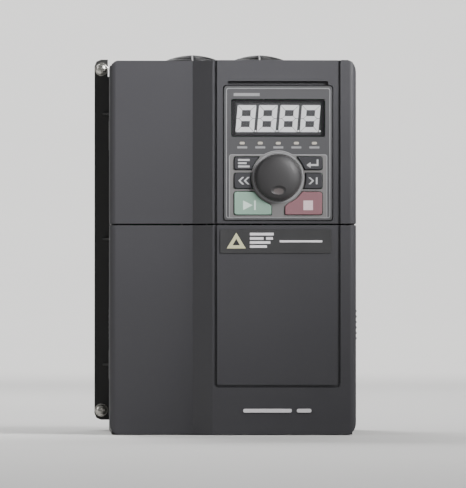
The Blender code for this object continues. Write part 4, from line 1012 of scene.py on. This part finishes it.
def blade(start):
    """One curved blade as a closed strip whose pitch falls towards its tip."""
    inner, outer, rows, chord, thick = 7.6, 16.6, 7, 10, 0.9
    made = bmesh.new()
    sections = []
    for share in steps(0, 1 / (rows - 1), rows):
        radius = inner + (outer - inner) * share
        pitch = math.radians(48 - 16 * share)
        length = 5.6 + 0.8 * share
        points = []
        for face in (-1, 1):
            for step in range(chord + 1):
                along = -face * (step / chord * 2 - 1)
                across = face * thick / 2 * math.sqrt(max(1 - along**4, 0.08)) + 0.9 * (1 - along * along)
                u = along * length * math.cos(pitch) - across * math.sin(pitch)
                w = along * length * math.sin(pitch) + across * math.cos(pitch)
                turn = start + math.radians(10) * share + u / radius
                spot = Vector((radius * math.cos(turn), radius * math.sin(turn), w))
                points.append(made.verts.new(spot * MM))
        sections.append(points)
    for before, after in zip(sections, sections[1:]):
        for i, point in enumerate(before):
            j = (i + 1) % len(before)
            made.faces.new((point, before[j], after[j], after[i]))
    made.faces.new(sections[0])
    made.faces.new(sections[-1])
    return made


def fan_lead(word, side):
    """A pair of twisted leads and their plug, from the fan to its socket under the plate."""
    top = corners(f"fan_lead_{word}")[1].z - 2.4
    frame_low, frame_high, mid = corners(f"fan_frame_{word}")
    y, edge = mid.y, frame_high.x if side > 0 else -frame_low.x
    route = smooth_route([
        (side * (edge + reach), y + along, top - drop) for reach, along, drop in (
            (-0.6, -10, 12), (3.4, -10, 11), (8.5, -6, 13), (12.5, 2, 10), (13.5, 5, 3),
        )
    ], 10)
    for strand, look in enumerate(("lamp", "black"), 1):
        points = []
        for i, spot in enumerate(route):
            turn = i * 0.55 + math.pi * (strand - 1)
            points.append((spot[0] + 0.55 * math.cos(turn), spot[1] + 0.55 * math.sin(turn), spot[2]))
        wire = Shape().pipe(points, 0.5)
        wire.done(f"fan_wire_{word}_{strand}", look, "fan_unit", slot="grommet_rubber")
    plug = Shape().block((side * (edge + 9), y + 1, top - 5), (side * (edge + 18), y + 9, top + 2.3), 0.4)
    inner = min(side * (edge + 9), side * (edge + 18))
    for x in steps(inner + 1.4, 2.5, 3):
        plug.block((x, y + 0.4, top - 4), (x + 1, y + 1.2, top + 1.5), 0.2)
    plug.done(f"fan_plug_{word}", "plate", "fan_unit", f"fan_lead_{word}", slot="grommet_rubber")


# ---- cable entry -------------------------------------------------------------------------------
def cable_entry():
    """The entry plate's four screws and its three rubber grommets."""
    low, high, _ = corners("cable_entry_plate")
    trim = Shape()
    profile = [(0, 0), (2.7, 0), (2.7, 0.8), (2.0, 1.6), (0, 1.7)]
    for x, y in rectangle((low.x + 5, low.y + 5), (high.x - 5, high.y - 5)):
        trim.lathe(profile, (x, y, high.z), axis="Z")
    trim.done("entry_plate_screws", "steel")
    for i in (1, 2, 3):
        node = f"cable_grommet_{i}"
        x, y, _ = corners(node)[2]
        ring = Shape().lathe([
            (7.0, 7.6), (7.4, 8.0), (9.6, 7.5), (11.6, 6.5), (12, 5.9), (12, 5.1), (10, 5.1), (10, 2.5),
            (12, 2.5), (12, 1.2), (11.6, 0.8), (7.6, 0.8), (7.0, 1.3), (7.0, 3.6), (6.2, 4.2), (7.0, 4.8),
        ], (x, y, 0), 64, "Z")
        ring.done(f"grommet_ring_{i}", "rubber", replaces=node)


# ---- power electronics -------------------------------------------------------------------------
def power_modules():
    """The screws and the rows of pins of the two resin modules."""
    for node in ("igbt_module", "rectifier_module"):
        low, high, mid = corners(node)
        screws, pins = Shape(), Shape()
        for x in (low.x - 0.1, high.x + 0.1):
            screws.lathe([(0, 0.2), (2.6, 0.2), (2.6, 1.4), (2.0, 2.2), (0, 2.4)], (x, high.y, mid.z), 32)
        screws.done(f"{node}_screws", "steel")
        run = high.x - low.x - 16
        count = int(run / 3.8)
        for x in steps(low.x + 8, run / (count - 1), count):
            for z in (low.z + 2.4, high.z - 2.4):
                pins.block((x - 0.4, low.y - 2.2, z - 0.3), (x + 0.4, low.y + 0.4, z + 0.3), 0.1, 1)
        pins.done(f"{node}_pins", "tin")


def board_screws():
    """Four screws at the corners of each big board."""
    for node, side, foot, head in (("power_board", 12, 22, 12), ("control_board", 3, 10, 4)):
        low, high, _ = corners(node)
        screws = Shape()
        for x, z in rectangle((low.x + side, low.z + foot), (high.x - side, high.z - head)):
            screws.lathe([(0, 0.05), (3.0, 0.05), (3.0, 1.0), (2.2, 1.8), (0, 2.0)], (x, low.y, z), 28)
        screws.done(f"{node}_screws", "steel")


def capacitors():
    """Four snap-in capacitors: a sleeve that wraps over the rim, and a scored aluminium end."""
    for i in (1, 2, 3, 4):
        node = f"dc_capacitor_{i}"
        low, high, mid = corners(node)
        radius, long, at = (high.x - low.x) / 2, high.y - low.y, (mid.x, high.y, mid.z)
        rim = [(2.2, 0.5), (1.6, 0.05), (0.6, 0.3), (0.05, 1.2), (0.05, 2.8), (0.5, 3.4), (0.05, 4.0)]
        sleeve = [(radius - inset, long - drop) for inset, drop in rim]
        sleeve += [(radius - 0.05, 1.2), (radius - 0.8, 0.1), (radius - 2.2, 0.1)]
        Shape().lathe(sleeve, at, 64).done(f"capacitor_sleeve_{i}", "sleeve", replaces=node)
        under, over, edge = long - 1.6, long - 0.75, radius - 2.3
        end = Shape().lathe([(0, under), (0, over), (edge, over), (edge, under)], at)
        end = end.plain(f"capacitor_end_{i}")
        for turn in (0, 60, 120):
            score = placed((mid.x, low.y + 0.75, mid.z), turn, "Y")
            carve(end, Shape().block((-9, -0.6, -0.3), (9, 0.25, 0.3), 0, at=score))
        piece(end, "aluminium", slot="capacitor_sleeve")
        stripe = stroke(arc((mid.x, mid.z), radius + 0.02, 60, 84, 6), 0.06)
        line = Shape().prism(stripe, low.y + 6, high.y - 5)
        line.done(f"capacitor_stripe_{i}", "line", slot="capacitor_sleeve")


def transformer():
    """A ferrite core round a taped winding, on a bobbin with two rows of pins."""
    low, high, (x, _, z) = corners("switching_transformer")
    y0, y1 = low.y, high.y
    core, bobbin = Shape(), Shape()
    for side in (-1, 1):
        core.block((x - 14, y0 + 3, z + side * 8.9 - 3.1), (x + 14, y1 - 4, z + side * 8.9 + 3.1), 0.6)
        core.block((x + side * 12 - 1.9, y0 + 3, z - 9), (x + side * 12 + 1.9, y1 - 4, z + 9), 0.6)
        bobbin.block((x - 10.8, y0 + 0.1, z + side * 14 - 2), (x + 10.8, y1 - 0.1, z + side * 14 + 2), 0.5)
        row = z + side * 15.2
        for pin in steps(x - 8, 4, 5):
            bobbin.rod((pin, y0 + 1.5, row), (pin, y0 + 0.2, row), 0.45, edge=0.05)
    core.done("transformer_core", "resin", replaces="switching_transformer")
    wound = Shape().block((x - 9.6, y0 + 0.6, z - 5.6), (x + 9.6, y1 - 3, z + 5.6), 2.2, 4)
    wound.done("transformer_tape", "tape")
    bobbin.done("transformer_bobbin", "black", slot="module_resin")


def relay_and_busbars():
    """The precharge relay, and a bent bar through each current sensor."""
    low, high, _ = corners("precharge_relay")
    relay = Shape().block(low, high, 0.8, 3)
    relay.block((low.x + 2, low.y + 1, low.z), (high.x - 2, low.y + 2.4, high.z), 0.2)
    relay.done("relay_case", "plate", replaces="precharge_relay", slot="terminal_black")
    for i in (1, 2):
        low, high, (x, _, z) = corners(f"current_sensor_{i}")
        bar = Shape().block((x - 3.4, low.y - 4.5, z - 1), (x + 3.4, high.y - 0.2, z + 1), 0.25)
        bar.block((x - 3.4, low.y - 4.5, z - 34), (x + 3.4, low.y - 2.7, z + 1), 0.25)
        bar.done(f"motor_busbar_{i}", "tin", slot="copper_winding")


def choke():
    """A ring core wound with round copper wire, turn by turn."""
    low, high, mid = corners("common_mode_choke")
    minor = (high.y - low.y) / 2
    major = (high.x - low.x) / 2 - minor
    ring, half = minor - 1.6, minor - 1.7
    profile = [(major - ring, -half), (major + ring, -half), (major + ring, half), (major - ring, half)]
    core = Shape().lathe(profile, mid)
    core.done("choke_core", "green", replaces="common_mode_choke", slot="copper_winding")
    wire, turns, per_turn = 0.68, 16, 14
    loop = minor - wire - 0.1
    for word, start in (("a", 0), ("b", math.pi)):
        points = []
        for share in steps(0, 1 / (turns * per_turn), turns * per_turn + 1):
            around, spin = start + math.radians(14 + 152 * share), TURN * turns * share
            reach = major + loop * math.cos(spin)
            spot = (reach * math.cos(around), loop * math.sin(spin), reach * math.sin(around))
            points.append(mid + Vector(spot))
        Shape().pipe(points, wire, sides=1).done(f"choke_winding_{word}", "copper")


def main_terminals():
    """A clamp and a pan head screw in each of the barrier strip's ten ways."""
    low, _, (_, _, z) = corners("main_terminal_block")
    pitch, wall, floor = 12.0, 1.8, 2.0
    for i, x in enumerate(steps(low.x + (pitch + wall) / 2, pitch, 10), 1):
        clamp = Shape().block((x - 4.7, floor - 2.4, z - 8.5), (x + 4.7, floor - 0.2, z + 8.5), 0.4)
        clamp.block((x - 4.2, floor - 4.6, z - 4.6), (x + 4.2, floor - 2.5, z + 4.6), 0.5)
        clamp.done(f"terminal_clamp_{i}", "tin")
        profile = [(0, 4.7), (3.5, 4.7), (3.6, 6.4), (3.1, 7.6), (0, 8.0)]
        screw = Shape().lathe(profile, (x, floor, z), 32).plain(f"terminal_screw_{i}")
        cross_cut(screw, (x, floor - 8.0, z), "Y", 2.2, 0.5, 1.4)
        piece(screw, "steel")


# ---- control electronics -----------------------------------------------------------------------
def chip(shape, pins, low_x, high_x, face, low_z, high_z, pitch=1.27, tall=1.5):
    """A flat package in one shape and its gull-wing legs in another."""
    shape.block((low_x, face - tall, low_z), (high_x, face - 0.15, high_z), 0.15, 1)
    for z in steps(low_z + 0.9, pitch, int((high_z - low_z - 1.2) / pitch)):
        for inner, outer in ((low_x + 0.2, low_x - 1.1), (high_x - 0.2, high_x + 1.1)):
            pins.block((inner, face - 0.55, z - 0.2), (outer, face - 0.02, z + 0.2), 0)


def control_parts():
    """The processor, its neighbours and the small parts that fill the control board's front."""
    face = corners("control_board")[0].y
    chips, pins, passives, resistors, cans, sleeves = (Shape() for _ in range(6))
    low, high, _ = corners("control_processor")
    chip(chips, pins, low.x + 1.2, high.x - 1.2, face, low.z, high.z, 0.8, 1.4)
    for x, z, wide, tall in (
        (2, 126, 6, 10), (12, 122, 6, 9), (-48, 126, 7, 12), (-6, 104, 6, 8), (10, 104, 6, 8),
        (-30, 100, 7, 10), (26, 108, 6, 9), (40, 130, 7, 10), (-46, 104, 5, 7),
    ):
        chip(chips, pins, x, x + wide, face, z, z + tall)
    spots = random.Random(7)
    for row in range(9):
        for column in range(22):
            x, z = -54 + 5 * column + spots.uniform(-1, 1), 76 + 3.0 * row + spots.uniform(-0.5, 0.5)
            if z > 98 or spots.random() < 0.3:
                continue
            body = passives if (row + column) % 3 else resistors
            body.block((x - 1, face - 0.7, z - 0.6), (x + 1, face - 0.02, z + 0.6), 0.1, 1)
            for end in (x - 0.86, x + 0.86):
                pins.block((end - 0.18, face - 0.73, z - 0.63), (end + 0.18, face - 0.02, z + 0.63), 0)
    for x, z, radius, tall in (
        (44, 84, 4, 9), (-40, 146, 4, 9), (-28, 148, 3.2, 7), (46, 100, 3.2, 7), (-52, 150, 4, 9)
    ):
        at, side, inner, outer = (x, face, z), radius - 0.1, radius - 0.2, radius + 0.1
        rim = [(side, tall), (radius - 0.6, tall + 0.3), (radius - 0.9, tall), (0, tall)]
        cans.lathe([(0, 0.1), (side, 0.1), *rim], at, 32)
        sleeves.lathe([(inner, 0.6), (outer, 0.6), (outer, tall - 0.6), (inner, tall - 0.6)], at, 32)
    chips.done("control_chips", "chip", replaces="control_processor")
    pins.done("control_chip_legs", "tin")
    passives.done("control_small_parts", "ceramic")
    resistors.done("control_resistors", "chip")
    cans.done("control_cans", "aluminium", slot="capacitor_sleeve")
    sleeves.done("control_can_sleeves", "sleeve")


def small_inner_parts():
    """Terminal screws, the socket's pins, the charge lamp, and dark lines of painted shade in the creases of
    the ribbon.
    """
    low, high, _ = corners("control_terminal_block")
    screws, pins, crease_shade = Shape(), Shape(), Shape()
    pitch = (high.x - low.x) / 16
    for x in steps(low.x + pitch / 2, pitch, 16):
        profile = [(0, 0), (1.35, 0), (1.35, 0.5), (1.1, 0.8), (0, 0.9)]
        screws.lathe(profile, (x, low.y + 1.45, low.z + 8.6), 20)
    screws.done("control_terminal_screws", "steel")
    low, high, mid = corners("keypad_socket")
    for x in steps(mid.x - 4.45, 1.27, 8):
        for z in (mid.z - 1.3, mid.z + 1.3):
            pins.block((x - 0.25, low.y + 7.9, z - 0.25), (x + 0.25, high.y - 1, z + 0.25), 0)
    pins.done("socket_pins", "tin")
    _, high, mid = corners("charge_lamp")
    lamp = Shape().lathe(
        [(0, 0.1), (2.45, 0.1), (2.45, 3.0), (2.0, 4.3), (1.1, 4.85), (0, 5)], (mid.x, high.y, mid.z), 36
    )
    lamp.done("charge_lens", "lamp", replaces="charge_lamp")
    # Dark lines along the ribbon's creases: painted shade between its wires.
    low, high, _ = corners("ribbon_cable")
    pitch = 1.27
    for z in steps(low.z + 0.9, pitch, int((high.z - low.z) / pitch)):
        crease_shade.block((high.x - 0.1, low.y + 5, z - 0.12), (high.x - 0.02, high.y - 5, z + 0.12), 0)
    crease_shade.done("ribbon_crease_shade", "dark_ink", slot="ribbon_grey")


# ---- stage -------------------------------------------------------------------------------------
def stage():
    """A pale floor that curves up into a far backdrop. Its sizes are in metres."""
    depth, width, radius, tall, near = 7.0, 16.0, 3.0, 8.0, -9.0
    profile = [(near, 0.0), *arc((depth - radius, radius), radius, -90, 0, 15), (depth, tall)]
    bm = bmesh.new()
    rows = [[bm.verts.new((x, y, z - 0.0002)) for x in (-width, width)] for y, z in profile]
    for a, b in zip(rows, rows[1:]):
        bm.faces.new((a[0], a[1], b[1], b[0]))
    mesh = bpy.data.meshes.new("studio_sweep")
    bm.to_mesh(mesh)
    bm.free()
    mesh.shade_smooth()
    paint = Paint("studio_paper", (218, 217, 215), specular=0.2, Roughness=0.8)
    paint.colour(paint.mix(paint.noise(3, 3), paint.main, rgb(223, 222, 220)))
    mesh.materials.append(paint.material)
    linked("studio_sweep", mesh)


def lights():
    """Soft studio light: places and sizes in metres, powers in watts, spreads in degrees."""
    world = bpy.data.worlds.new("studio")
    world.use_nodes = True
    background = world.node_tree.nodes["Background"].inputs
    background["Color"].default_value = (0.97, 0.98, 1.0, 1)
    background["Strength"].default_value = 0.22
    bpy.context.scene.world = world
    drive_middle, shoulder_top, wall_foot = (0, 0, 0.12), (-0.075, -0.075, 0.245), (0, 5.0, 0)
    for name, spot, size, power, spread, target in (
        ("top_box", (0.42, -0.52, 0.46), 0.2, 0.72, 42, shoulder_top),
        ("key_box", (1.6, -0.9, 2.0), 1.0, 20.0, 120, drive_middle),
        ("fill_box", (-1.9, -0.8, 1.0), 1.2, 5.0, 120, drive_middle),
        ("back_box", (-0.8, 1.9, 1.7), 1.2, 18.0, 120, drive_middle),
        ("wall_box", (0, 4.2, 3.6), 3.0, 250.0, 180, wall_foot),
    ):
        light = bpy.data.lights.new(name, "AREA")
        light.size = size
        light.energy = power
        light.spread = math.radians(spread)
        aimed(linked(name, light), Vector(spot), Vector(target))


def aimed(obj, spot, target):
    """Puts a light or a camera at a spot and points it at its target."""
    obj.location = spot
    obj.rotation_euler = (target - spot).to_track_quat("-Z", "Y").to_euler()
    return obj


def camera():
    """A long lens from 3.5 m, almost square to the front: a little to the left and a little below."""
    azimuth, elevation, distance = math.radians(-1.75), math.radians(-0.7), 3.5
    level = math.cos(elevation)
    away = Vector((math.sin(azimuth) * level, -math.cos(azimuth) * level, math.sin(elevation)))
    target = Vector((0, FRONT, 112)) * MM
    data = bpy.data.cameras.new("camera")
    data.lens = 440
    data.sensor_width = 36
    data.clip_end = 60
    bpy.context.scene.camera = aimed(linked("camera", data), target + away * distance, target)


for build in (
    upper_cover, lower_cover, cover_screws, front_label, badge, keypad_plate, display, indicators, keys, knob,
    rounded_copies, housings, mounting_screws, rating_plate, fan_unit, cable_entry, power_modules,
    board_screws, capacitors, transformer, relay_and_busbars, choke, main_terminals, control_parts,
    small_inner_parts, stage, lights, camera,
):
    build()

bpy.context.view_layer.update()
